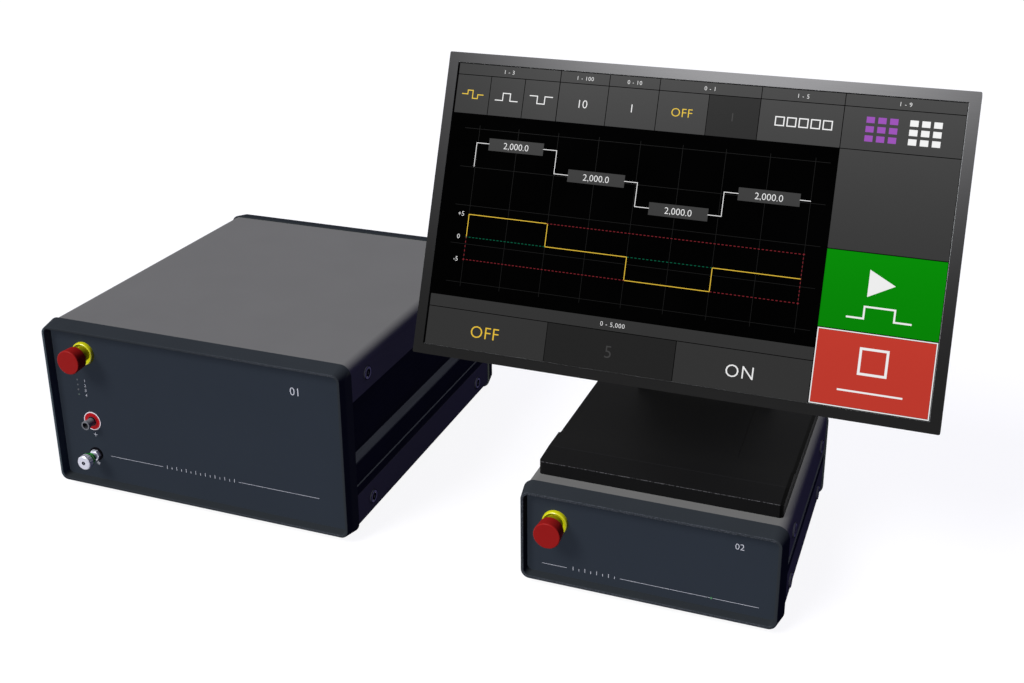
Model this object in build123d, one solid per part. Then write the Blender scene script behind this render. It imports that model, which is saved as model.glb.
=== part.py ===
from build123d import *
import math
import os

os.makedirs("parts", exist_ok=True)

# A cell electroporation set: a high-voltage pulse generator, an external control unit
# of the same case family, and a touch display on a folding stand on the control unit.
# Millimetres.  X runs along the bench, Y away from the user and Z up.

# ---- cases: outer size of the rim at each end, and how the two stand on the bench ----
GEN_WIDTH = 357.9
GEN_HEIGHT = 185.2
GEN_DEPTH = 395.9
CTL_WIDTH = 251.2
CTL_HEIGHT = 95.6
CTL_DEPTH = 278.0
CASE_GAP = 189.8

# ---- corner frames, panels, covers and side rails, shared by both cases ----
FRAME_DEPTH = 18.8
FRAME_FLARE = 3.7
RIM_WALL = 3.0
RIM_RADIUS = 8.5
RIM_ROUND = 0.8
LIP_WIDTH = 6.0
PANEL_RECESS = 10.7
PANEL_THICK = 3.0
PANEL_GAP = 0.2
COVER_THICK = 1.5
COVER_INSET = 2.1
FLANGE_HEIGHT = 41.0
FLANGE_GAP = 0.3
BAND_HEIGHT = 9.5
BAND_SETBACK = 1.7
LEDGE_RISE = 25.0
LEDGE_BEVEL = 0.8
GRIP_DEPTH = 13.2
RAIL_WALL = 3.0
RAIL_MIDDLE_MIN = 60.0

# ---- fasteners and feet ----
SCREW_RADIUS = 2.0
SCREW_LENGTH = 9.0
SCREW_HEAD_RADIUS = 4.0
SCREW_END_INSET = 55.0
SCREW_EDGE_INSET = 22.0
WASHER_RADIUS = 7.5
WASHER_HEIGHT = 1.8
WASHER_SIDE_HEIGHT = 0.99
WASHER_RIM_INSET = 0.8
WASHER_RIM_FLAT = 0.9
WASHER_DISH_HEIGHT = 0.81
WASHER_SEAT_THICK = 0.45
SOCKET_ACROSS = 3.0
SOCKET_DEPTH = 0.9
FOOT_RADIUS = 9.0
FOOT_HEIGHT = 6.8
FOOT_TAPER = 1.5
FOOT_TAPER_LENGTH = 3.5
FOOT_INSET = 34.0
FOOT_STEM_RADIUS = 3.5

# ---- fits: running fits, bores that a pin is pressed in, and holes that only clear ----
RUNNING_FIT = 0.05
PRESS_FIT = 0.02
CLEAR_HOLE = 0.1

# ---- front controls: distances from the left edge and the bottom edge of the rim ----
GEN_COLUMN_X = 43.4
GEN_STOP_Z = 155.5
HV_SOCKET_Z = 74.2
GROUND_POST_Z = 33.6
LIGHT_COLUMN_X = 30.2
LIGHT_TOP_Z = 122.2
LIGHT_PITCH = 5.9
LIGHT_COUNT = 4
LIGHT_RADIUS = 1.0
LIGHT_PROUD = 0.4
CTL_STOP_X = 32.1
CTL_STOP_Z = 62.0
CTL_LIGHT_X = 187.2
CTL_LIGHT_Z = 13.4

# ---- emergency stop buttons ----
STOP_HEAD_RADIUS = 13.6
STOP_HEAD_LENGTH = 14.0
STOP_HEAD_TAPER = 0.9
STOP_HEAD_BAND = 2.0
STOP_HEAD_ROUND = 1.2
STOP_REACH = 26.3
STOP_NECK_RADIUS = 8.0
STOP_SPIGOT_RADIUS = 5.0
STOP_SPIGOT_LENGTH = 7.0
STOP_TRAVEL = 4.0
STOP_COLLAR_RADIUS = 14.0
STOP_COLLAR_HEIGHT = 5.2
STOP_COLLAR_SIDE = 2.08
STOP_COLLAR_EDGE = 1.2
STOP_COLLAR_RIM = 1.4
STOP_DISH_HEIGHT = 2.6
STOP_DISH_INSET = 1.2
STOP_BARREL_RADIUS = 11.0
STOP_BARREL_LENGTH = 16.0
STOP_NUT_RADIUS = 15.0
STOP_NUT_THICK = 4.0
STOP_BLOCK_SIZE = 26.0
STOP_BLOCK_LENGTH = 22.0
STOP_POCKET_GAP = 0.4
TERMINAL_WIDTH = 3.0
TERMINAL_DEPTH = 14.0
TERMINAL_LENGTH = 5.0
TERMINAL_SPREAD = 14.0

# ---- high-voltage output socket ----
HV_BARREL_RADIUS = 5.2
HV_REACH = 12.4
HV_BORE_RADIUS = 3.5
HV_BORE_DEPTH = 18.0
HV_FLANGE_RADIUS = 6.5
HV_FLANGE_HEIGHT = 5.0
HV_FLANGE_BEVEL = 1.0
HV_THREAD_RADIUS = 5.6
HV_TAIL = 14.0
HV_RING_RADIUS = 10.8
HV_RING_THICK = 0.6
HV_NUT_ACROSS = 17.0
HV_NUT_THICK = 4.0

# ---- ground terminal ----
POST_WASHER_RADIUS = 8.0
POST_WASHER_THICK = 1.6
POST_STUD_RADIUS = 3.0
POST_TAIL = 16.0
POST_BORE_RADIUS = 2.0
POST_BORE_DEPTH = 12.0
POST_NUT_ACROSS = 11.0
POST_NUT_THICK = 3.2
POST_SLEEVE_RADIUS = 4.5
POST_SLEEVE_LENGTH = 4.3
POST_RING_RADIUS = 5.6
POST_RING_LENGTH = 2.6
POST_CAP_RADIUS = 8.0
POST_CAP_LENGTH = 11.2
POST_CAP_FRONT = 1.6
POST_CAP_BEVEL = 0.8
POST_CAP_SHOULDER = 0.6
POST_CAP_TAPER_LENGTH = 3.0
POST_STUD_END_GAP = 0.5
POST_FLUTES = 16
POST_FLUTE_RADIUS = 0.9
POST_FLUTE_END = 2.0

# ---- mains inlet with switch, at the rear of both cases ----
INLET_WIDTH = 27.0
INLET_HEIGHT = 47.0
INLET_DEPTH = 24.0
INLET_FLANGE = 2.5
INLET_LIP = 2.0
INLET_SOCKET_WIDTH = 23.0
INLET_SOCKET_HEIGHT = 16.0
INLET_SOCKET_DEPTH = 16.0
INLET_SOCKET_DROP = 11.5
INLET_SOCKET_CORNER = 4.0
INLET_PIN_LENGTH = 9.5
INLET_PIN_WIDTH = 2.0
INLET_PIN_HEIGHT = 4.0
INLET_PIN_SPREAD = 7.0
INLET_PIN_DROP = 1.0
ROCKER_LENGTH = 17.6
ROCKER_WIDTH = 12.0
ROCKER_END_TAPER = 1.5
ROCKER_HALF_THROW = 8.0
ROCKER_POCKET_LENGTH = 20.4
ROCKER_POCKET_DEPTH = 11.0
ROCKER_POCKET_INSET = 2.0
ROCKER_SIDE_GAP = 0.4
ROCKER_PIVOT_DEPTH = 2.0
ROCKER_PIVOT_RADIUS = 1.2
ROCKER_PIVOT_LENGTH = 1.5
ROCKER_PIVOT_END_GAP = 0.5
ROCKER_CROWN = 4.2
ROCKER_SKIRT = 5.0
GEN_INLET_X = -120.0
CTL_INLET_X = -85.0

# ---- link sockets, 15-way, at the rear of both cases ----
LINK_FLANGE_WIDTH = 39.0
LINK_FLANGE_HEIGHT = 12.5
LINK_FLANGE_THICK = 1.2
LINK_SHELL_WIDTH = 25.0
LINK_SHELL_HEIGHT = 8.4
LINK_SHELL_LENGTH = 5.8
LINK_BODY_LENGTH = 10.0
LINK_SLANT = 80.0
LINK_SHELL_ROUND = 1.5
LINK_CUTOUT_GAP = 0.2
LINK_STUD_ACROSS = 5.0
LINK_STUD_TAIL = 1.0
LINK_HOLE_SPREAD = 33.3
LINK_HOLE_RADIUS = 1.6
GEN_LINK_X = -50.0
CTL_LINK_X = 0.0
CTL_DISPLAY_LINK_X = 60.0

# ---- cooling fan of the generator ----
FAN_SIZE = 80.0
FAN_DEPTH = 25.0
FAN_CORNER = 4.0
FAN_BORE_RADIUS = 38.0
FAN_TIP_GAP = 1.0
FAN_HUB_RADIUS = 17.0
FAN_HUB_LENGTH = 19.0
FAN_HUB_ROUND = 1.5
FAN_MOTOR_RADIUS = 16.0
FAN_ROTOR_GAP = 1.0
FAN_BLADES = 7
FAN_BLADE_THICK = 1.4
FAN_BLADE_CHORD = 16.0
FAN_TIP_CHORD = 21.6
FAN_ROOT_TWIST = 50.0
FAN_TIP_TWIST = 28.0
FAN_BLADE_ROOT = 1.0
FAN_SHAFT_RADIUS = 2.0
FAN_SHAFT_LENGTH = 12.0
FAN_STRUT_WIDTH = 5.0
FAN_STRUT_THICK = 3.0
FAN_STRUT_ROOT = 1.0
FAN_HOLE_SPREAD = 71.5
FAN_HOLE_RADIUS = 2.2
FAN_X = 100.0
GUARD_THICK = 1.6
GUARD_BAR = 2.2
GUARD_RINGS = 4
GUARD_RING_PITCH = 9.0
GUARD_LUG_RADIUS = 5.0
GUARD_SCREW_HEAD_RADIUS = 3.6
GUARD_SCREW_LENGTH = 10.0

# ---- boards and modules inside ----
BOARD_THICK = 1.6
STANDOFF_RADIUS = 3.0
STANDOFF_HEIGHT = 8.0
STANDOFF_INSET = 6.0
INNER_GAP = 6.0
FRONT_SPACE = 50.0
REAR_SPACE = 60.0
SUPPLY_SIZE = (110.0, 180.0, 90.0)
SUPPLY_ROUND = 2.0
SUPPLY_SLOTS = 8
SUPPLY_SLOT_PITCH = 12.0
SUPPLY_SLOT_WIDTH = 4.0
SUPPLY_SLOT_DEPTH = 3.0
SUPPLY_SLOT_MARGIN = 12.0
CHOKE_RADIUS = 12.0
CHOKE_BORE_RADIUS = 5.0
CHOKE_HEIGHT = 14.0
SWITCH_COUNT = 6
SWITCH_SIZE = (14.0, 6.0, 20.0)
SWITCH_GAP = 4.0
SWITCH_ROW = 16.0
SINK_WIDTH = 60.0
SINK_HEIGHT = 46.0
SINK_GAP = 8.0
SINK_BASE = 6.0
SINK_FINS = 8
SINK_FIN_THICK = 2.0
SINK_COUNT = 2
CAPACITOR_RADIUS = 17.5
CAPACITOR_HEIGHT = 80.0
CAPACITOR_ROUND = 1.5
CAPACITOR_PITCH = 40.0
CAPACITOR_COLUMNS = 2
CAPACITOR_ROWS = 3
CAPACITOR_MARGIN = 8.0
CAPACITOR_REAR_GAP = 32.4
COMPUTER_BOARD_SIZE = (170.0, 150.0)
COOLER_SIZE = 46.0
COOLER_HEIGHT = 22.0
COOLER_FINS = 7
COOLER_OFFSET = 23.0
MEMORY_OFFSET = 46.0
MEMORY_SIZE = (8.0, 70.0, 16.0)
LIGHT_BOARD_WIDTH = 14.0
LIGHT_BOARD_MARGIN = 8.0
LIGHT_PIPE_LENGTH = 6.0
LIGHT_SPACER_RADIUS = 2.0

# ---- display stand ----
BASE_WIDTH = 238.8
BASE_FRONT_Y = 35.1
BASE_DEPTH = 211.0
BASE_FRONT_THICK = 13.6
BASE_CREST_THICK = 15.6
BASE_REAR_THICK = 12.4
BASE_CREASE_Y = 30.0
BASE_STEP_Y = 59.0
BASE_CORNER = 4.0
BASE_WALL = 5.0
BASE_RIBS = 4
BASE_RIB_THICK = 4.0
BASE_GROOVE_X = 61.0
BASE_GROOVE_START = 78.0
BASE_GROOVE_LENGTH = 118.0
BASE_GROOVE_WIDTH = 0.8
BASE_GROOVE_DEPTH = 0.8
BASE_GROOVE_SLANT = 2.4
ARM_WIDTH = 120.0
ARM_LENGTH = 232.0
ARM_THICK = 16.0
ARM_LEAN = 25.7
ARM_POCKET_DEPTH = 9.0
ARM_POCKET_WALL = 8.0
HINGE_RISE = 9.6
HINGE_REAR_INSET = 13.0
HINGE_SIDE_GAP = 0.5
HINGE_EAR_WIDTH = 12.0
HINGE_EAR_RADIUS = 9.0
PIN_RADIUS = 5.0

# ---- touch display ----
DISPLAY_WIDTH = 494.0
DISPLAY_HEIGHT = 294.8
DISPLAY_TILT = 21.5
BEZEL_WIDTH = 9.7
BEZEL_THICK = 2.5
BEZEL_DEPTH = 14.0
BEZEL_SIDE_WALL = 2.0
BEZEL_CORNER = 1.5
GLASS_GAP = 0.3
GLASS_THICK = 2.0
LCD_THICK = 9.0
LCD_GAP = 0.3
SHELL_WALL = 2.5
SHELL_STEP = 7.0
SHELL_EDGE_CHAMFER = 4.0
HUMP_WIDTH = 300.0
HUMP_HEIGHT = 190.0
HUMP_DEPTH = 18.0
HUMP_TAPER = 14.0
HUMP_RADIUS = 12.0
VENT_COUNT = 14
VENT_PITCH = 9.0
VENT_WIDTH = 2.5
VENT_LENGTH = 14.0
VENT_END_SHARE = 0.49
DRIVER_BOARD_SIZE = (180.0, 110.0)
DRIVER_CHIP_SIZE = (34.0, 34.0, 3.0)
DRIVER_CHIP_SPOT = (-40.0, 10.0)
CONVERTER_SIZE = (30.0, 50.0, 7.0)
CONVERTER_SPOT = (60.0, 15.0)
CONNECTOR_SIZE = (16.0, 12.0, 6.0)
CONNECTOR_SPOTS = (10.0, 34.0)
CONNECTOR_INSET = 7.0
BRACKET_HEIGHT = 118.0
BRACKET_THICK = 3.0
BRACKET_AXIS_OFFSET = 14.0
VESA_PITCH = 100.0
VESA_SCREW_RADIUS = 2.0
VESA_SCREW_LENGTH = 5.0
VESA_HEAD_RADIUS = 3.8
VESA_HEAD_HEIGHT = 2.4


# ---- shared ways of making and placing a solid ----
def facing_front(x, y, z):
    """Plane at a point whose local Z points at the user and whose local Y points up."""
    return Plane(origin=(x, y, z), x_dir=(1, 0, 0), z_dir=(0, -1, 0))


def facing_rear(x, y, z):
    """Plane at a point whose local Z points away from the user, with local Y up."""
    return Plane(origin=(x, y, z), x_dir=(-1, 0, 0), z_dir=(0, 1, 0))


def turned(*points):
    """Solid of revolution about Z, from an outline of (radius, height) points."""
    outline = Plane.XZ * Polyline(*points, close=True)
    return revolve(make_face(outline), Axis.Z)


def rod(radius, low, high):
    """Cylinder about Z between two heights."""
    return Pos(0, 0, (low + high) / 2) * Cylinder(radius, high - low)


def block(width, height, low, high):
    """Box centred on Z between two heights."""
    return Pos(0, 0, (low + high) / 2) * Box(width, height, high - low)


def hexagon(across, low, high):
    """Hexagonal prism about Z, given across its flats."""
    side = RegularPolygon(radius=across / 2, side_count=6, major_radius=False)
    return Pos(0, 0, low) * extrude(side, high - low)


class Case:
    """One box of the case family on the bench; every z is measured from the bench."""

    def __init__(self, centre_x, width, height, depth):
        self.centre_x = centre_x
        self.width = width
        self.height = height
        self.depth = depth
        self.cover_width = width + 2 * (FRAME_FLARE - COVER_INSET)
        self.cover_height = height + 2 * (FRAME_FLARE - COVER_INSET)
        self.bottom = FOOT_HEIGHT
        self.top = self.bottom + self.cover_height
        self.middle = self.bottom + self.cover_height / 2
        self.rim_bottom = self.middle - height / 2
        self.left_edge = centre_x - width / 2
        self.panel_front = PANEL_RECESS
        self.panel_back = PANEL_RECESS + PANEL_THICK
        self.rear_face = depth - PANEL_RECESS
        self.floor = self.bottom + COVER_THICK

    def section(self, width, height, radius, y):
        """Rounded rectangle across the case at depth y."""
        return facing_front(self.centre_x, y, self.middle) * RectangleRounded(width, height, radius)

    def slab(self, width, height, radius, front, back):
        """Rounded rectangle across the case, from one depth to another."""
        return extrude(self.section(width, height, radius, front), back - front, dir=(0, 1, 0))

    def front_point(self, from_left, from_bottom):
        """Plane on the front panel, placed from the rim's left and bottom edges."""
        return facing_front(self.left_edge + from_left, self.panel_front, self.rim_bottom + from_bottom)

    def rear_point(self, from_centre, z):
        """Plane on the outer face of the rear panel."""
        return facing_rear(self.centre_x + from_centre, self.rear_face, z)

    def turned_round(self, shape):
        """The same shape at the other end of the case."""
        return Pos(2 * self.centre_x, self.depth, 0) * Rot(0, 0, 180) * shape


generator = Case(0.0, GEN_WIDTH, GEN_HEIGHT, GEN_DEPTH)
control = Case(GEN_WIDTH / 2 + CASE_GAP + CTL_WIDTH / 2, CTL_WIDTH, CTL_HEIGHT, CTL_DEPTH)


# ---- corner frames ----
def corner_frame(case):
    """Cast frame that flares from its rim to its back edge, with a lip for the panel."""
    rim = case.section(case.width, case.height, RIM_RADIUS, 0)
    back = case.section(
        case.width + 2 * FRAME_FLARE,
        case.height + 2 * FRAME_FLARE,
        RIM_RADIUS + FRAME_FLARE,
        FRAME_DEPTH,
    )
    body = loft([rim, back], ruled=True)
    mouth = case.slab(
        case.width - 2 * RIM_WALL, case.height - 2 * RIM_WALL, RIM_RADIUS - RIM_WALL, 0, case.panel_back
    )
    lip = RIM_WALL + LIP_WIDTH
    window = case.slab(case.width - 2 * lip, case.height - 2 * lip, RIM_WALL, 0, FRAME_DEPTH)
    ring = body - mouth - window
    return fillet(ring.edges().group_by(Axis.Y)[0], RIM_ROUND)


def blank_panel(case):
    """Plate that drops into the frame's mouth and rests on its lip."""
    edge = RIM_WALL + PANEL_GAP
    return case.slab(
        case.width - 2 * edge,
        case.height - 2 * edge,
        RIM_RADIUS - edge,
        case.panel_front,
        case.panel_back,
    )


# ---- covers ----
def cover_pair(case):
    """Top and bottom covers: folded sheets whose flanges come down over the side rails."""
    radius = RIM_RADIUS + FRAME_FLARE - COVER_INSET
    back = case.depth - FRAME_DEPTH
    outer = case.slab(case.cover_width, case.cover_height, radius, FRAME_DEPTH, back)
    inner = case.slab(
        case.cover_width - 2 * COVER_THICK,
        case.cover_height - 2 * COVER_THICK,
        radius - COVER_THICK,
        FRAME_DEPTH,
        back,
    )
    sleeve = outer - inner
    for plane in screw_planes(case):
        sleeve -= plane * rod(SCREW_RADIUS + CLEAR_HOLE, -SCREW_LENGTH, WASHER_HEIGHT)
    centre = Pos(case.centre_x, case.depth / 2, 0)
    keep = Box(2 * case.cover_width, 2 * case.depth, FLANGE_HEIGHT)
    top = sleeve & (centre * Pos(0, 0, case.top - FLANGE_HEIGHT / 2) * keep)
    bottom = sleeve & (centre * Pos(0, 0, case.bottom + FLANGE_HEIGHT / 2) * keep)
    for plane in foot_planes(case):
        bottom -= plane * rod(FOOT_STEM_RADIUS + CLEAR_HOLE, -COVER_THICK, COVER_THICK)
    return top, bottom


def screw_planes(case):
    """Planes on the cover flanges, local Z outwards, one for each cover screw."""
    planes = []
    for side in (-1, 1):
        for y in (SCREW_END_INSET, case.depth - SCREW_END_INSET):
            for z in (case.bottom + SCREW_EDGE_INSET, case.top - SCREW_EDGE_INSET):
                x = case.centre_x + side * case.cover_width / 2
                planes.append(Plane(origin=(x, y, z), x_dir=(0, side, 0), z_dir=(side, 0, 0)))
    return planes


def foot_planes(case):
    """Planes under the bottom cover, local Z down, one for each foot."""
    planes = []
    for side in (-1, 1):
        for y in (FRAME_DEPTH + FOOT_INSET, case.depth - FRAME_DEPTH - FOOT_INSET):
            x = case.centre_x + side * (case.cover_width / 2 - FOOT_INSET)
            planes.append(Plane(origin=(x, y, case.bottom), x_dir=(1, 0, 0), z_dir=(0, 0, -1)))
    return planes


# ---- side rails ----
def rail_outline(case):
    """Section of a rail as (depth in from the cover's face, height above its underside)."""
    end = RIM_RADIUS + FRAME_FLARE
    seat = COVER_THICK
    band_low = FLANGE_HEIGHT + FLANGE_GAP
    band_high = band_low + BAND_HEIGHT
    top_low = case.cover_height - FLANGE_HEIGHT
    inner = GRIP_DEPTH + RAIL_WALL
    lower = [(inner, end), (seat, end), (seat, band_low), (0, band_low), (0, band_high)]
    upper = [(seat, top_low), (seat, case.cover_height - end), (inner, case.cover_height - end)]
    if top_low - band_low < RAIL_MIDDLE_MIN:
        return lower + [(BAND_SETBACK, band_high), (BAND_SETBACK, top_low)] + upper
    ledge = band_high + LEDGE_RISE
    grip = [
        (BAND_SETBACK, band_high),
        (BAND_SETBACK, ledge - LEDGE_BEVEL),
        (BAND_SETBACK + LEDGE_BEVEL, ledge),
        (GRIP_DEPTH, ledge),
        (GRIP_DEPTH, top_low),
    ]
    return lower + grip + upper


def side_rail(case, side):
    """Extruded rail between the frames, with a hand grip where the case is tall enough."""
    length = case.depth - 2 * FRAME_DEPTH
    plane = Plane(
        origin=(case.centre_x + side * case.cover_width / 2, FRAME_DEPTH, case.bottom),
        x_dir=(-side, 0, 0),
        z_dir=(0, side, 0),
    )
    outline = plane * Polyline(*rail_outline(case), close=True)
    rail = extrude(make_face(outline), length, dir=(0, 1, 0))
    chamber_width = GRIP_DEPTH - COVER_THICK - RAIL_WALL
    chamber_height = FLANGE_HEIGHT - RIM_RADIUS - FRAME_FLARE - 2 * RAIL_WALL
    chamber = RectangleRounded(chamber_width, chamber_height, RAIL_WALL)
    across = (GRIP_DEPTH + COVER_THICK + RAIL_WALL) / 2
    rise = RIM_RADIUS + FRAME_FLARE + RAIL_WALL + chamber_height / 2
    for z in (rise, case.cover_height - rise):
        rail -= extrude(plane * Pos(across, z) * chamber, length, dir=(0, 1, 0))
    for hole in screw_planes(case):
        if (hole.origin.X - case.centre_x) * side > 0:
            rail -= hole * rod(SCREW_RADIUS + PRESS_FIT, -SCREW_LENGTH, 0)
    return rail


# ---- screws, washers and feet ----
def cup_washer():
    """Turned cup washer: a raised ring that slopes down to the screw's seat."""
    seat = SCREW_HEAD_RADIUS + RUNNING_FIT
    return turned(
        (SCREW_RADIUS + CLEAR_HOLE, 0),
        (WASHER_RADIUS, 0),
        (WASHER_RADIUS, WASHER_SIDE_HEIGHT),
        (WASHER_RADIUS - WASHER_RIM_INSET, WASHER_HEIGHT),
        (WASHER_RADIUS - WASHER_RIM_INSET - WASHER_RIM_FLAT, WASHER_HEIGHT),
        (seat, WASHER_DISH_HEIGHT),
        (seat, WASHER_SEAT_THICK),
        (SCREW_RADIUS + CLEAR_HOLE, WASHER_SEAT_THICK),
    )


def cover_screw():
    """Socket screw whose flat head sits in the cup washer."""
    head = rod(SCREW_HEAD_RADIUS, WASHER_SEAT_THICK, WASHER_HEIGHT)
    shank = rod(SCREW_RADIUS, WASHER_SEAT_THICK - SCREW_LENGTH, WASHER_SEAT_THICK)
    return head + shank - hexagon(SOCKET_ACROSS, WASHER_HEIGHT - SOCKET_DEPTH, WASHER_HEIGHT)


def rubber_foot():
    """Push-in foot: a tapered pad and a stem that fills the hole in the cover."""
    pad = turned(
        (0, 0),
        (FOOT_RADIUS, 0),
        (FOOT_RADIUS, FOOT_HEIGHT - FOOT_TAPER_LENGTH),
        (FOOT_RADIUS - FOOT_TAPER, FOOT_HEIGHT),
        (0, FOOT_HEIGHT),
    )
    return pad + rod(FOOT_STEM_RADIUS, -COVER_THICK, 0)


# ---- emergency stop button: local Z points out of the panel, zero at its face ----
def stop_collar():
    """Dished ring on the panel in one piece with the barrel that passes through it."""
    bore = STOP_NECK_RADIUS + RUNNING_FIT
    return turned(
        (bore, -STOP_BARREL_LENGTH),
        (STOP_BARREL_RADIUS, -STOP_BARREL_LENGTH),
        (STOP_BARREL_RADIUS, 0),
        (STOP_COLLAR_RADIUS, 0),
        (STOP_COLLAR_RADIUS, STOP_COLLAR_SIDE),
        (STOP_COLLAR_RADIUS - STOP_COLLAR_EDGE, STOP_COLLAR_HEIGHT),
        (STOP_COLLAR_RADIUS - STOP_COLLAR_EDGE - STOP_COLLAR_RIM, STOP_COLLAR_HEIGHT),
        (STOP_BARREL_RADIUS - STOP_DISH_INSET, STOP_DISH_HEIGHT),
        (bore, STOP_DISH_HEIGHT),
    )


def stop_plunger():
    """Neck that slides in the collar, with the spigot that the head turns on."""
    shoulder = STOP_REACH - STOP_HEAD_LENGTH
    end = -(STOP_BARREL_LENGTH - STOP_TRAVEL / 2)
    return rod(STOP_NECK_RADIUS, end, shoulder) + rod(
        STOP_SPIGOT_RADIUS, shoulder, shoulder + STOP_SPIGOT_LENGTH
    )


def stop_head():
    """Red mushroom head with a rounded front edge."""
    back = STOP_REACH - STOP_HEAD_LENGTH
    body = turned(
        (0, back),
        (STOP_HEAD_RADIUS - STOP_HEAD_TAPER, back),
        (STOP_HEAD_RADIUS, STOP_REACH - STOP_HEAD_BAND),
        (STOP_HEAD_RADIUS, STOP_REACH),
        (0, STOP_REACH),
    )
    body = fillet(body.edges().group_by(Axis.Z)[-1], STOP_HEAD_ROUND)
    return body - rod(STOP_SPIGOT_RADIUS + RUNNING_FIT, back, back + STOP_SPIGOT_LENGTH + CLEAR_HOLE)


def stop_contacts():
    """Contact block on the end of the barrel, with room for the plunger's travel."""
    low = -STOP_BARREL_LENGTH - STOP_BLOCK_LENGTH
    housing = block(STOP_BLOCK_SIZE, STOP_BLOCK_SIZE, low, -STOP_BARREL_LENGTH)
    pocket_radius = STOP_NECK_RADIUS + STOP_POCKET_GAP
    pocket = rod(pocket_radius, -STOP_BARREL_LENGTH - STOP_TRAVEL, -STOP_BARREL_LENGTH)
    terminal = block(TERMINAL_WIDTH, TERMINAL_DEPTH, low - TERMINAL_LENGTH, low)
    spots = [Pos(side * TERMINAL_SPREAD / 2, 0, 0) for side in (-1, 1)]
    return housing - pocket + [spot * terminal for spot in spots]


def stop_nut():
    """Round nut that clamps the barrel from behind the panel."""
    ring = rod(STOP_NUT_RADIUS, -PANEL_THICK - STOP_NUT_THICK, -PANEL_THICK)
    return ring - rod(STOP_BARREL_RADIUS + PRESS_FIT, -PANEL_THICK - STOP_NUT_THICK, -PANEL_THICK)


# ---- high-voltage socket ----
def hv_socket():
    """Insulated socket: flange on the panel, barrel in front and thread behind."""
    bottom = HV_REACH - HV_BORE_DEPTH
    body = turned(
        (0, -HV_TAIL),
        (HV_THREAD_RADIUS, -HV_TAIL),
        (HV_THREAD_RADIUS, 0),
        (HV_FLANGE_RADIUS, 0),
        (HV_FLANGE_RADIUS, HV_FLANGE_HEIGHT - HV_FLANGE_BEVEL),
        (HV_FLANGE_RADIUS - HV_FLANGE_BEVEL, HV_FLANGE_HEIGHT),
        (HV_BARREL_RADIUS, HV_FLANGE_HEIGHT),
        (HV_BARREL_RADIUS, HV_REACH),
        (0, HV_REACH),
    )
    return body - rod(HV_BORE_RADIUS, bottom, HV_REACH)


def hv_ring():
    """Flat ring round the socket."""
    return rod(HV_RING_RADIUS, 0, HV_RING_THICK) - rod(HV_FLANGE_RADIUS + CLEAR_HOLE, 0, HV_RING_THICK)


def hv_nut():
    """Nut behind the panel."""
    nut = hexagon(HV_NUT_ACROSS, -PANEL_THICK - HV_NUT_THICK, -PANEL_THICK)
    return nut - rod(HV_THREAD_RADIUS + PRESS_FIT, -PANEL_THICK - HV_NUT_THICK, -PANEL_THICK)


# ---- ground terminal: stacked outwards from the panel ----
POST_NUT_TOP = POST_WASHER_THICK + POST_NUT_THICK
POST_SLEEVE_TOP = POST_NUT_TOP + POST_SLEEVE_LENGTH
POST_RING_TOP = POST_SLEEVE_TOP + POST_RING_LENGTH
POST_CAP_TOP = POST_RING_TOP + POST_CAP_LENGTH
POST_STUD_TOP = POST_CAP_TOP - POST_CAP_FRONT - POST_STUD_END_GAP


def ground_washer():
    """Insulating washer on the panel."""
    return rod(POST_WASHER_RADIUS, 0, POST_WASHER_THICK) - rod(
        POST_STUD_RADIUS + CLEAR_HOLE, 0, POST_WASHER_THICK
    )


def ground_nut():
    """Hexagonal nut that holds the post to the panel."""
    nut = hexagon(POST_NUT_ACROSS, POST_WASHER_THICK, POST_NUT_TOP)
    return nut - rod(POST_STUD_RADIUS + PRESS_FIT, POST_WASHER_THICK, POST_NUT_TOP)


def ground_post():
    """Stud with a shoulder sleeve and a bore for a 4 mm plug."""
    stud = rod(POST_STUD_RADIUS, -POST_TAIL, POST_STUD_TOP)
    sleeve = rod(POST_SLEEVE_RADIUS, POST_NUT_TOP, POST_SLEEVE_TOP)
    return stud + sleeve - rod(POST_BORE_RADIUS, POST_STUD_TOP - POST_BORE_DEPTH, POST_STUD_TOP)


def ground_collar():
    """Coloured ring that travels along the stud with the cap."""
    return rod(POST_RING_RADIUS, POST_SLEEVE_TOP, POST_RING_TOP) - rod(
        POST_STUD_RADIUS + RUNNING_FIT, POST_SLEEVE_TOP, POST_RING_TOP
    )


def ground_cap():
    """Fluted cap that screws on the stud, open at its front for the plug."""
    shoulder = POST_CAP_TOP - POST_CAP_FRONT
    cap = turned(
        (POST_BORE_RADIUS + CLEAR_HOLE, shoulder),
        (POST_BORE_RADIUS + CLEAR_HOLE, POST_CAP_TOP),
        (POST_CAP_RADIUS - POST_CAP_BEVEL, POST_CAP_TOP),
        (POST_CAP_RADIUS, POST_CAP_TOP - POST_CAP_BEVEL),
        (POST_CAP_RADIUS, POST_RING_TOP + POST_CAP_TAPER_LENGTH),
        (POST_RING_RADIUS + POST_CAP_SHOULDER, POST_RING_TOP),
        (POST_STUD_RADIUS + RUNNING_FIT, POST_RING_TOP),
        (POST_STUD_RADIUS + RUNNING_FIT, shoulder),
    )
    flute = Pos(POST_CAP_RADIUS + POST_FLUTE_RADIUS / 2, 0, 0) * rod(
        POST_FLUTE_RADIUS, POST_RING_TOP, POST_CAP_TOP - POST_FLUTE_END
    )
    return cap - [Rot(0, 0, 360 * k / POST_FLUTES) * flute for k in range(POST_FLUTES)]


# ---- status lights ----
def light_pipe():
    """Clear pin through the panel, from just proud of its face to the board behind."""
    return rod(LIGHT_RADIUS, -PANEL_THICK - LIGHT_PIPE_LENGTH, LIGHT_PROUD)


def light_points():
    """Planes of the generator's status lights, top to bottom."""
    return [generator.front_point(LIGHT_COLUMN_X, LIGHT_TOP_Z - k * LIGHT_PITCH) for k in range(LIGHT_COUNT)]


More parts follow.
